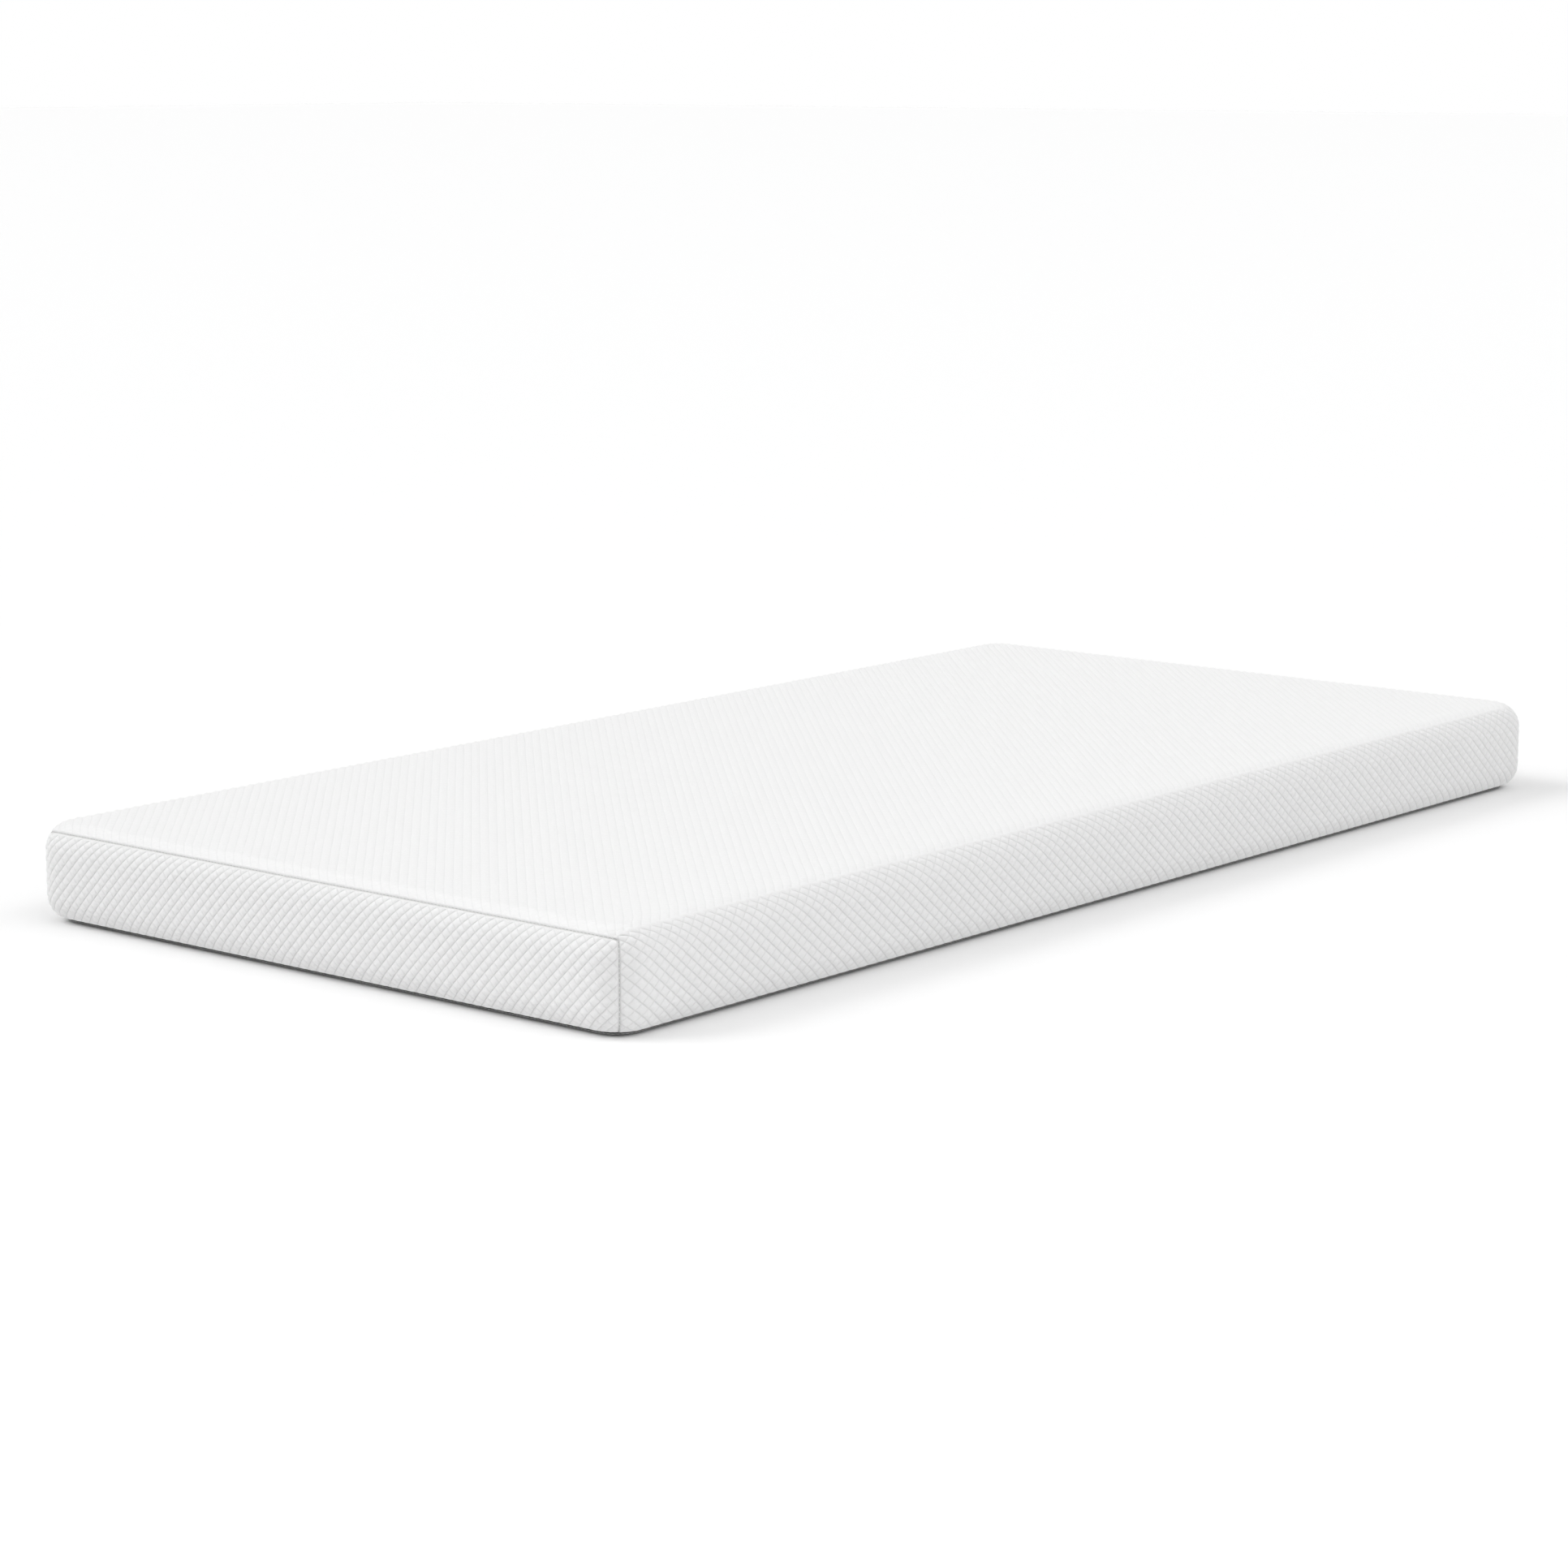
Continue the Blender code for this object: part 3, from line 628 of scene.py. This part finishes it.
def base_seam_path():
    turn = np.linspace(0, QUARTER, 24)
    seam_z = (WALL_BOTTOM + BASE_TOP) / 2
    x, y = SIDE_START + CORNER * np.cos(turn), LENGTH_START + CORNER * np.sin(turn)
    quarter = np.stack([x, y], axis=1)
    left, right = (quarter * (-1, 1))[::-1], (quarter * (1, -1))[::-1]
    plan = np.concatenate([quarter, left, -quarter, right, quarter[:1]])
    steps = np.linalg.norm(np.diff(plan, axis=0), axis=1)
    far = np.concatenate([[0.0], np.cumsum(steps)])
    fine = np.linspace(0, far[-1], 2400)
    plan = np.stack([np.interp(fine, far, plan[:, axis]) for axis in (0, 1)], axis=1)
    # Drawn in to where the roll is at the seam's height.
    inset = ROLL - math.sqrt(ROLL**2 - (ROLL - seam_z) ** 2)
    core = np.clip(plan, (-SIDE_START, -LENGTH_START), (SIDE_START, LENGTH_START))
    plan = core + (plan - core) * (CORNER - inset) / CORNER
    return on_body(np.column_stack([plan, np.full(len(plan), seam_z)]))


# Plain bodies.


BODY_SHARP = math.radians(40)  # edges that turn by more than this are shaded sharp
SLAB_SHARP = math.radians(50)
BLOCK_CELL = 0.05
WELD = 1e-5
SOCK_THICK = 0.0012
SLIT_Y = -0.60  # the slit in the sock's underside that it is pulled on through
SLIT_HALF = (0.35, 0.006)
BASE_CELL = 0.0125
BASE_HEM = 0.0016  # how far the base cloth's edge is turned in


def block(inset):
    """A closed bmesh of the body, drawn in by inset."""
    spans = []
    for half, start in ((HALF_WIDTH, SIDE_START), (HALF_LENGTH, LENGTH_START)):
        edge = np.linspace(start, half, 12)
        middle = np.linspace(-start, start, round(2 * start / BLOCK_CELL))[1:-1]
        spans.append(np.concatenate([-edge[::-1], middle, edge]))
    spans.append(np.concatenate([np.linspace(0, ROLL, 9), np.linspace(HEIGHT - ROLL, HEIGHT, 9)]))
    bm = bmesh.new()
    for axis in range(3):
        a, b = [i for i in range(3) if i != axis]
        first, second = np.meshgrid(spans[a], spans[b], indexing="ij")
        for end in (0, -1):
            points = np.empty((first.size, 3))
            points[:, a], points[:, b] = first.ravel(), second.ravel()
            points[:, axis] = spans[axis][end]
            points, normals = on_body(points)
            add_to_bmesh(bm, points - inset * normals, grid_quads(first.shape))
    bmesh.ops.remove_doubles(bm, verts=bm.verts[:], dist=WELD)
    bmesh.ops.recalc_face_normals(bm, faces=bm.faces[:])
    return bm


def cut_flat(bm, height, way):
    """Cuts a closed bmesh off flat at a height, and closes it again. Below is way -1, and above is 1."""
    cut(bm, (0, 0, height), (0, 0, way), remove=True)
    bmesh.ops.holes_fill(bm, edges=[e for e in bm.edges if e.is_boundary])
    bmesh.ops.recalc_face_normals(bm, faces=bm.faces[:])


def finish_bmesh(name, bm, sharp=BODY_SHARP):
    mesh = bpy.data.meshes.new(name)
    bm.to_mesh(mesh)
    bm.free()
    mesh.shade_smooth()
    mesh.set_sharp_from_angle(angle=sharp)
    return add_object(name, mesh)


def foam_layer(name, node, way):
    """One of the core's two layers, cut flat on its side that way points to."""
    low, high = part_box(node)
    bm = block(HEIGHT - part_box("memory_foam_layer")[1].z)
    cut_flat(bm, high.z if way > 0 else low.z, way)
    return finish_bmesh(name, bm)


def sock():
    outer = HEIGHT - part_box("fire_sock")[1].z
    bm = block(outer)
    inner = block(outer + SOCK_THICK)
    bmesh.ops.reverse_faces(inner, faces=inner.faces[:])
    append(bm, inner)
    for axis, middle in ((0, 0.0), (1, SLIT_Y)):
        for way in (-1, 1):
            place, outward = [0, 0, 0], [0, 0, 0]
            place[axis], outward[axis] = middle + way * SLIT_HALF[axis], way
            cut(bm, place, outward)
    inside = []
    for face in bm.faces:
        centre = face.calc_center_median()
        if abs(centre.x) < SLIT_HALF[0] and abs(centre.y - SLIT_Y) < SLIT_HALF[1] and centre.z < ROLL:
            inside.append(face)
    bmesh.ops.delete(bm, geom=inside, context="FACES")
    bmesh.ops.bridge_loops(bm, edges=[e for e in bm.edges if e.is_boundary])
    bmesh.ops.recalc_face_normals(bm, faces=bm.faces[:])
    return finish_bmesh("sock_knit", bm)


def wall_slab(name, low, high, cells, shape):
    """A thin closed slab that faces +Y, whose face is shaped by shape(u, v), for u and v from -1 to 1."""
    spans = [np.linspace(-1, 1, n + 1) for n in cells]
    u, v = (a.ravel() for a in np.meshgrid(*spans, indexing="ij"))
    middle = [(low[i] + high[i]) / 2 for i in (0, 2)]
    half = [(high[i] - low[i]) / 2 for i in (0, 2)]
    points = []
    for y in (high[1] + shape(u * half[0], v * half[1]), np.full(len(u), low[1])):
        points.append(np.column_stack([middle[0] + u * half[0], y, middle[1] + v * half[1]]))
    quads = grid_quads((cells[0] + 1, cells[1] + 1))
    bm = bmesh.new()
    add_to_bmesh(bm, np.concatenate(points), np.concatenate([quads[:, ::-1], quads + len(u)]))
    bmesh.ops.bridge_loops(bm, edges=[e for e in bm.edges if e.is_boundary])
    bmesh.ops.recalc_face_normals(bm, faces=bm.faces[:])
    return finish_bmesh(name, bm, SLAB_SHARP)


def base_cloth():
    """The plain cloth underneath, turned up at its edge to meet the walls."""
    slack = ROLL * math.tan(math.acos((ROLL - BASE_TOP) / ROLL))
    half = (FLAT_WIDTH + slack, FLAT_LENGTH + slack)
    radius = CORE + slack
    spans = [np.linspace(-h, h, round(2 * h / BASE_CELL)) for h in half]
    u, v = np.meshgrid(*spans, indexing="ij")
    bm = bmesh.new()
    add_to_bmesh(bm, np.column_stack([u.ravel(), v.ravel(), np.zeros(u.size)]), grid_quads(u.shape))
    for way_x in (-1, 1):
        for way_y in (-1, 1):
            for turn in np.linspace(0, QUARTER, 12)[1:-1]:
                out = (way_x * math.cos(turn), way_y * math.sin(turn))
                x = way_x * (half[0] - radius) + radius * out[0]
                y = way_y * (half[1] - radius) + radius * out[1]
                clip(bm, (x, y), out)
    sink = bm.verts.layers.float.new("sink")
    edges = [e for e in bm.edges if e.is_boundary]
    grown = bmesh.ops.extrude_edge_only(bm, edges=edges)["geom"]
    for vert in (g for g in grown if isinstance(g, bmesh.types.BMVert)):
        vert[sink] = BASE_HEM
    mesh = bpy.data.meshes.new("base_cloth")
    bm.to_mesh(mesh)
    bm.free()
    flat = np.empty(len(mesh.vertices) * 3)
    mesh.vertices.foreach_get("co", flat)
    points = flat.reshape(-1, 3)
    depth = np.empty(len(points))
    mesh.attributes["sink"].data.foreach_get("value", depth)
    mesh.attributes.remove(mesh.attributes["sink"])
    points, normals = on_body(points)
    mesh.vertices.foreach_set("co", (points - depth[:, None] * normals).ravel())
    mesh.update()
    mesh.shade_smooth()
    if mesh.polygons[0].normal.z > 0:
        mesh.flip_normals()
    return add_object("base_cloth", mesh)


# Materials.


def new_material(name, colour, roughness, **constants):
    material = bpy.data.materials.new(name)
    material.use_nodes = True
    shader = material.node_tree.nodes["Principled BSDF"]
    shader.inputs["Base Color"].default_value = (*colour, 1.0)
    shader.inputs["Roughness"].default_value = roughness
    for socket, value in constants.items():
        shader.inputs[socket.replace("_", " ")].default_value = value
    return material, shader


def add_node(material, kind, inputs, **settings):
    made = material.node_tree.nodes.new(kind)
    for key, value in settings.items():
        setattr(made, key, value)
    for socket, value in inputs.items():
        if isinstance(value, bpy.types.NodeSocket):
            material.node_tree.links.new(value, made.inputs[socket])
        else:
            made.inputs[socket].default_value = value
    return made


def link_roughness(material, shader, value):
    material.node_tree.links.new(value, shader.inputs["Roughness"])


def object_place(material):
    return add_node(material, "ShaderNodeTexCoord", {}).outputs["Object"]


def calc(material, operation, a, b=0.0):
    return add_node(material, "ShaderNodeMath", {0: a, 1: b}, operation=operation).outputs[0]


def noise(material, vector, size, detail=2.0):
    inputs = {"Vector": vector, "Scale": 1 / size, "Detail": detail}
    return add_node(material, "ShaderNodeTexNoise", inputs).outputs[0]


def spread(material, value, low, high, start=0.0, end=1.0):
    inputs = {"Value": value, "From Min": start, "From Max": end, "To Min": low, "To Max": high}
    return add_node(material, "ShaderNodeMapRange", inputs).outputs[0]


def tint(material, shader, colour, shade):
    """Links a colour that is scaled by shade."""
    made = add_node(material, "ShaderNodeVectorMath", {0: colour, "Scale": shade}, operation="SCALE")
    material.node_tree.links.new(made.outputs[0], shader.inputs["Base Color"])


def add_bump(material, shader, height):
    """height is in metres."""
    made = add_node(material, "ShaderNodeBump", {"Height": height, "Distance": 1.0, "Strength": 1.0})
    material.node_tree.links.new(made.outputs[0], shader.inputs["Normal"])


KNIT_WHITE = (0.80, 0.80, 0.80)
WALE = 0.0013  # width of a column of stitches
COURSE = 0.0010  # height of a row of them
STITCH_HEIGHT = 0.00003
LUMP_SIZE = 0.0045
LUMP_HEIGHT = 0.0003
LUMP_SHADES = (0.97, 1.03)
LUMP_ROUGHNESS = (0.85, 0.95)
GROOVE_DEPTH = 0.0002
GROOVE_PAINTED_SHADE = 0.15  # painted shade: how much the cloth's colour is dimmed along a groove's line, where shade falls
# How clear a groove's line is, as a bump and as painted shade, and how much of its pitch it takes up on
# each side.
STRONG_LINE = (1.0, 0.11)
WEAK_LINE = (0.55, 0.10)


def knit_material():
    material, shader = new_material("knit", KNIT_WHITE, 0.9, Sheen_Weight=0.2, Sheen_Roughness=0.5)
    cloth = add_node(material, "ShaderNodeUVMap", {}, uv_map="cloth").outputs[0]
    place = add_node(material, "ShaderNodeSeparateXYZ", {0: cloth}).outputs
    wale = calc(material, "PINGPONG", calc(material, "DIVIDE", place[0], WALE), 0.5)
    row = calc(material, "ADD", calc(material, "DIVIDE", place[1], COURSE), wale)
    stitch = calc(material, "SINE", calc(material, "MULTIPLY", row, 2 * math.pi))
    height = calc(material, "MULTIPLY", stitch, STITCH_HEIGHT)
    lumps = noise(material, cloth, LUMP_SIZE, 3.0)
    height = calc(material, "ADD", height, calc(material, "MULTIPLY", lumps, LUMP_HEIGHT))
    pattern = add_node(material, "ShaderNodeUVMap", {}, uv_map="pattern").outputs[0]
    lines = add_node(material, "ShaderNodeSeparateXYZ", {0: pattern}).outputs
    raised = add_node(material, "ShaderNodeAttribute", {}, attribute_name="grooves").outputs["Fac"]
    lines = [calc(material, "PINGPONG", lines[i], 0.5) for i in (0, 1)]
    strong, weak = (
        spread(material, line, clear, 0.0, 0.0, width)
        for line, (clear, width) in zip(lines, (STRONG_LINE, WEAK_LINE))
    )
    groove = calc(material, "MULTIPLY", calc(material, "MAXIMUM", strong, weak), raised)
    height = calc(material, "SUBTRACT", height, calc(material, "MULTIPLY", groove, GROOVE_DEPTH))
    add_bump(material, shader, height)
    # Painted shade: the colour is dimmed along the grooves' lines, where shade falls in them.
    painted_groove_shade = calc(material, "MULTIPLY", groove, GROOVE_PAINTED_SHADE)
    shade = calc(material, "SUBTRACT", spread(material, lumps, *LUMP_SHADES), painted_groove_shade)
    tint(material, shader, KNIT_WHITE, shade)
    link_roughness(material, shader, spread(material, lumps, *LUMP_ROUGHNESS))
    return material


FUZZ_SIZE = 0.004
FUZZ_SHADES = (0.95, 1.04)
FUZZ_ROUGHNESS = 0.06


def woven_material(name, colour, pitch, height, axes=(0, 2), roughness=0.85):
    """Threads along one axis, each row shifted by half a pitch against the one before it."""
    material, shader = new_material(name, colour, roughness)
    place = object_place(material)
    parts = add_node(material, "ShaderNodeSeparateXYZ", {0: place}).outputs
    across = calc(material, "DIVIDE", parts[axes[1]], pitch[1])
    row = calc(material, "FLOOR", across)
    along = calc(material, "DIVIDE", parts[axes[0]], pitch[0])
    along = calc(material, "ADD", along, calc(material, "MULTIPLY", row, 0.5))
    wave = calc(material, "PINGPONG", along, 0.5)
    thread = calc(material, "PINGPONG", across, 0.5)
    weave = calc(material, "MULTIPLY", wave, thread)
    fuzz = noise(material, place, FUZZ_SIZE)
    bumps = calc(material, "MULTIPLY", weave, 4 * height)
    add_bump(material, shader, calc(material, "ADD", bumps, calc(material, "MULTIPLY", fuzz, height)))
    tint(material, shader, colour, spread(material, fuzz, *FUZZ_SHADES))
    rough = spread(material, fuzz, roughness - FUZZ_ROUGHNESS, roughness + FUZZ_ROUGHNESS)
    link_roughness(material, shader, rough)
    return material


PORE_DEPTH = 0.3  # of a pore's width
# Painted shade: the foam's colour is dimmed in the hollow of each pore, where shade falls.
PORE_PAINTED_SHADES = (0.82, 1.02)
FOAM_ROUGHNESS = (0.88, 1.0)


def foam_material(name, colour, pore):
    material, shader = new_material(name, colour, FOAM_ROUGHNESS[0])
    place = object_place(material)
    cells = add_node(material, "ShaderNodeTexVoronoi", {"Vector": place, "Scale": 1 / pore})
    pores = cells.outputs["Distance"]
    fine = noise(material, place, pore * 3, 4.0)
    height = calc(material, "MULTIPLY", calc(material, "ADD", pores, fine), pore * PORE_DEPTH)
    add_bump(material, shader, height)
    # Painted shade in the pores' hollows.
    tint(material, shader, colour, spread(material, pores, *PORE_PAINTED_SHADES))
    link_roughness(material, shader, spread(material, fine, *FOAM_ROUGHNESS))
    return material


GRAIN_SHADES = (0.93, 1.05)


def grained_material(name, colour, grain, height, rough, **constants):
    """For metal, nylon, thread and glue: a fine grain in the surface and in how rough it is."""
    material, shader = new_material(name, colour, rough[0], **constants)
    place = object_place(material)
    fine = noise(material, place, grain, 3.0)
    broad = noise(material, place, grain * 8, 2.0)
    add_bump(material, shader, calc(material, "MULTIPLY", fine, height))
    tint(material, shader, colour, spread(material, broad, *GRAIN_SHADES))
    link_roughness(material, shader, spread(material, fine, *rough))
    return material


def place_piece(obj, material, nodes, body="mattress"):
    obj.data.materials.clear()
    obj.data.materials.append(material)
    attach(obj, body)
    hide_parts(*nodes)
    return obj


# The cover.
knit = knit_material()
cover = place_piece(top_panel(), knit, ["cover_top"])
foot = place_piece(end_panel(-1, "foot_end_knit"), knit, ["foot_end_panel"])
head = place_piece(end_panel(1, "head_end_knit"), knit, ["head_end_panel"])
# A guessed grey, made dark so that it deepens the line of shade at the foot of the walls: partly the
# cloth's colour and partly painted shade.
BASE_CLOTH_AND_SHADE_GREY = (0.25, 0.25, 0.25)
base_weave = woven_material("base cloth", BASE_CLOTH_AND_SHADE_GREY, pitch=(0.0016, 0.0008), height=0.00012, axes=(0, 1))
base = place_piece(base_cloth(), base_weave, ["cover_base"])

# Its thread.
# Mid grey, made dark so that the seams' lines look deeper: partly the thread's colour and partly painted
# shade of the seams' gaps.
THREAD_AND_SEAM_SHADE_GREY = (0.50, 0.50, 0.50)
thread = grained_material(
    "thread", THREAD_AND_SEAM_SHADE_GREY, grain=0.0003, height=0.00004, rough=(0.6, 0.8), Sheen_Weight=0.3
)
# A row of stitches: the length of each, the gap between two, and the thread's radius.
END_STITCH = (0.0040, 0.0015, 0.00035)
BASE_STITCH = (0.0040, 0.0015, 0.0003)
ZIP_STITCH = (0.0024, 0.0009, 0.0003)
LABEL_STITCH = (0.0020, 0.0008, 0.0002)
END_STITCH_DEPTH = 0.0016  # how far below the body's surface the row lies
BASE_STITCH_DEPTH = 0.0008
for side, word in ((-1, "foot"), (1, "head")):
    points, normals = end_seam_path(side)
    row = stitches(f"{word}_seam_stitches", points - END_STITCH_DEPTH * normals, normals, *END_STITCH)
    place_piece(row, thread, [f"{word}_seam_thread"])
points, normals = base_seam_path()
row = stitches("base_seam_stitches", points - BASE_STITCH_DEPTH * normals, normals, *BASE_STITCH)
base_row = place_piece(row, thread, ["base_seam_thread"])

# The zip and the label.
WIRE = 0.00032  # radius of the coil's nylon wire
WIRE_STEPS = 10  # in each turn
COIL_PITCH = 0.0016
COIL_LAP = 0.0004  # how far past the middle of the zip each half of the coil reaches
TAPE_CELLS = (300, 24)
TAPE_RIPPLE = 0.00006
TAPE_RIPPLES = (0.0118, 0.00345)  # their length along the tape and across it
STITCH_RAISE = 0.0001  # a row of stitches on the wall lies this far inside its surface
LABEL_CELLS = (120, 46)
LABEL_RIPPLE = 0.00006
LABEL_RIPPLES = (260, 310)  # radians per metre
LABEL_DIP = 0.0002  # where the stitching presses the label in
LABEL_DIP_REACH = 0.0007
STITCH_INSET = 0.0022
OUTWARD = (0.0, 1.0, 0.0)
tape_weave = woven_material(
    "zip tape", (0.74, 0.74, 0.73), pitch=(0.0012, 0.0006), height=0.00012, roughness=0.8
)
nylon = grained_material("zip coil", (0.78, 0.78, 0.77), grain=0.0004, height=0.00002, rough=(0.3, 0.45))
metal = grained_material(
    "zip metal", (0.60, 0.60, 0.62), grain=0.0003, height=0.000006, rough=(0.22, 0.4), Metallic=1.0
)


def tape_face(u, v):
    along, across = (np.cos(p * 2 * math.pi / length) for p, length in zip((u, v), TAPE_RIPPLES))
    return TAPE_RIPPLE * (along * across - 1)


for way, word in ((1, "upper"), (-1, "lower")):
    tape = wall_slab(f"zip_tape_{word}_weave", *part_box(f"zip_tape_{word}"), TAPE_CELLS, tape_face)
    place_piece(tape, tape_weave, [f"zip_tape_{word}"])
    low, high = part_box(f"zip_coil_{word}")
    turns = round((high.x - low.x) / COIL_PITCH) - 1
    angle = np.linspace(0, 2 * math.pi * turns, WIRE_STEPS * turns + 1)
    half_y = (high.y - low.y) / 2 - WIRE
    # The loops of each half reach past the zip's middle, between those of the other half.
    inner = ZIP_Z - way * COIL_LAP + way * WIRE
    outer = (high.z if way > 0 else low.z) - way * WIRE
    start = low.x + WIRE + (COIL_PITCH / 2 if way < 0 else 0)
    x = np.linspace(start, start + turns * COIL_PITCH, len(angle))
    spokes = np.stack([np.zeros(len(angle)), np.sin(angle), way * np.cos(angle)], axis=1)
    y = (low.y + high.y) / 2 + half_y * spokes[:, 1]
    helix = np.column_stack([x, y, (inner + outer) / 2 + abs(outer - inner) / 2 * spokes[:, 2]])
    coil = tubes(f"zip_coil_{word}_wire", helix[None], spokes[None], np.full(len(angle), WIRE), sides=5)
    place_piece(coil, nylon, [f"zip_coil_{word}"])
    low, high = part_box(f"zip_stitching_{word}")
    path = np.array([(x, HALF_LENGTH - STITCH_RAISE, (low.z + high.z) / 2) for x in (low.x, high.x)])
    row = stitches(f"zip_stitches_{word}", path, np.tile(OUTWARD, (len(path), 1)), *ZIP_STITCH)
    place_piece(row, thread, [f"zip_stitching_{word}"])

low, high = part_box("care_label")


def label_face(u, v):
    edge = np.minimum((high.x - low.x) / 2 - np.abs(u), (high.z - low.z) / 2 - np.abs(v))
    dip = np.exp(-(((edge - STITCH_INSET) / LABEL_DIP_REACH) ** 2))
    ripples = np.cos(u * LABEL_RIPPLES[0]) * np.cos(v * LABEL_RIPPLES[1])
    return -LABEL_DIP * dip - LABEL_RIPPLE * (1 + ripples)


satin = woven_material(
    "label satin", (0.82, 0.82, 0.81), pitch=(0.0010, 0.00035), height=0.00004, roughness=0.45
)
label = wall_slab("label_satin", low, high, LABEL_CELLS, label_face)
place_piece(label, satin, ["care_label"])
x = (low.x + STITCH_INSET, high.x - STITCH_INSET)
z = (low.z + STITCH_INSET, high.z - STITCH_INSET)
corners = ((0, 0), (1, 0), (1, 1), (0, 1), (0, 0))
path = np.array([(x[i], high.y - STITCH_RAISE, z[k]) for i, k in corners])
row = stitches("label_stitches", path, np.tile(OUTWARD, (len(path), 1)), *LABEL_STITCH)
place_piece(row, thread, ["label_stitching"])


def give_material(node, material):
    """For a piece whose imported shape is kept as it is."""
    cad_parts[node].data.materials.clear()
    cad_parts[node].data.materials.append(material)


for node in ("zip_slider", "zip_pull_tab", "zip_bottom_stop", "zip_top_stop_upper", "zip_top_stop_lower"):
    give_material(node, metal)

# Inside the cover.
sock_weave = woven_material(
    "sock knit", (0.78, 0.78, 0.77), pitch=(0.0030, 0.0020), height=0.0002, axes=(1, 0)
)
lining = place_piece(sock(), sock_weave, ["fire_sock"])
memory_cells = foam_material("memory foam", (0.84, 0.80, 0.68), pore=0.0009)
memory = foam_layer("memory_foam", "memory_foam_layer", -1)
place_piece(memory, memory_cells, ["memory_foam_layer"])
base_cells = foam_material("base foam", (0.80, 0.80, 0.78), pore=0.0014)
core = foam_layer("base_foam", "base_foam_layer", 1)
place_piece(core, base_cells, ["base_foam_layer"])
glue = grained_material("glue film", (0.76, 0.68, 0.46), grain=0.002, height=0.0002, rough=(0.3, 0.5))
give_material("foam_bond_film", glue)

# The height of the end panels, and the boxes of the zip's tapes and of the label, which nothing below uses.
end_height = float(end_seam_arc([0.0])[0]) - ARC_BOTTOM
for word in ("upper", "lower"):
    low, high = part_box(f"zip_tape_{word}")
    tape = bpy.data.objects[f"zip_tape_{word}_weave"]
low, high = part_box("care_label")

# Floor, light and camera.
FLOOR_HALF = 60.0
FLOOR_DROP = 0.0002
FLOOR_WHITE = (0.885, 0.885, 0.885)
bpy.ops.mesh.primitive_plane_add(size=2 * FLOOR_HALF, location=(0, 0, -FLOOR_DROP))
floor = bpy.context.object
floor.name = "floor"
floor.data.materials.append(new_material("floor", FLOOR_WHITE, 0.9)[0])


def add_world(strength):
    """Lights the mattress softly from all round, and looks plain white behind the floor."""
    world = bpy.data.worlds.new("studio")
    bpy.context.scene.world = world
    world.use_nodes = True
    nodes, links = world.node_tree.nodes, world.node_tree.links
    around = nodes["Background"]
    around.inputs["Color"].default_value = (1, 1, 1, 1)
    around.inputs["Strength"].default_value = strength
    behind = nodes.new("ShaderNodeBackground")
    behind.inputs["Color"].default_value = (1, 1, 1, 1)
    mix = nodes.new("ShaderNodeMixShader")
    links.new(nodes.new("ShaderNodeLightPath").outputs["Is Camera Ray"], mix.inputs["Fac"])
    links.new(around.outputs[0], mix.inputs[1])
    links.new(behind.outputs[0], mix.inputs[2])
    links.new(mix.outputs[0], nodes["World Output"].inputs["Surface"])


def add_sun(name, azimuth, elevation, strength, angle, only=()):
    """azimuth is measured from +X towards +Y. Every angle is in degrees.

    A light with only lights those pieces, and nothing else throws a shadow in it.
    """
    data = bpy.data.lights.new(name, "SUN")
    data.energy = strength
    data.angle = math.radians(angle)
    lamp = bpy.data.objects.new(name, data)
    lamp.rotation_euler = (0, math.radians(90 - elevation), math.radians(azimuth))
    bpy.context.scene.collection.objects.link(lamp)
    if only:
        lit = bpy.data.collections.new(name)
        for obj in only:
            lit.objects.link(obj)
        lamp.light_linking.receiver_collection = lit
        lamp.light_linking.blocker_collection = lit


def add_panel_light(name, place, aim, size, power):
    data = bpy.data.lights.new(name, "AREA")
    data.energy = power
    data.size = size
    lamp = bpy.data.objects.new(name, data)
    lamp.location = place
    lamp.rotation_euler = (Vector(place) - Vector(aim)).to_track_quat("Z", "Y").to_euler()
    bpy.context.scene.collection.objects.link(lamp)


add_world(strength=0.094)
add_panel_light("corner", place=(1.6, -2.6, 0.7), aim=(0.45, -0.95, 0.06), size=1.2, power=3.2)
add_sun("key", azimuth=219.6, elevation=35, strength=1.57, angle=45)
add_sun("back", azimuth=60, elevation=25, strength=0.40, angle=40)
add_sun("overhead", azimuth=0, elevation=90, strength=1.79, angle=100)
add_sun("right", azimuth=0, elevation=35, strength=0.865, angle=60)
add_sun("from below", azimuth=0, elevation=-90, strength=0.8, angle=90, only=(cover, foot, head))
add_sun("under the base", azimuth=0, elevation=-90, strength=0.4, angle=90, only=(base, base_row))

CAMERA_PLACE = (3.297, -4.110, 1.072)
CAMERA_TILT = math.radians(79.428)
CAMERA_TURN = math.radians(39.624)
camera = bpy.data.objects.new("camera", bpy.data.cameras.new("camera"))
camera.data.lens = 89.83
camera.data.sensor_width = 36
camera.data.clip_end = 200
camera.location = CAMERA_PLACE
camera.rotation_euler = (CAMERA_TILT, 0, CAMERA_TURN)
bpy.context.scene.collection.objects.link(camera)
bpy.context.scene.camera = camera
bpy.context.scene.view_settings.view_transform = "Standard"
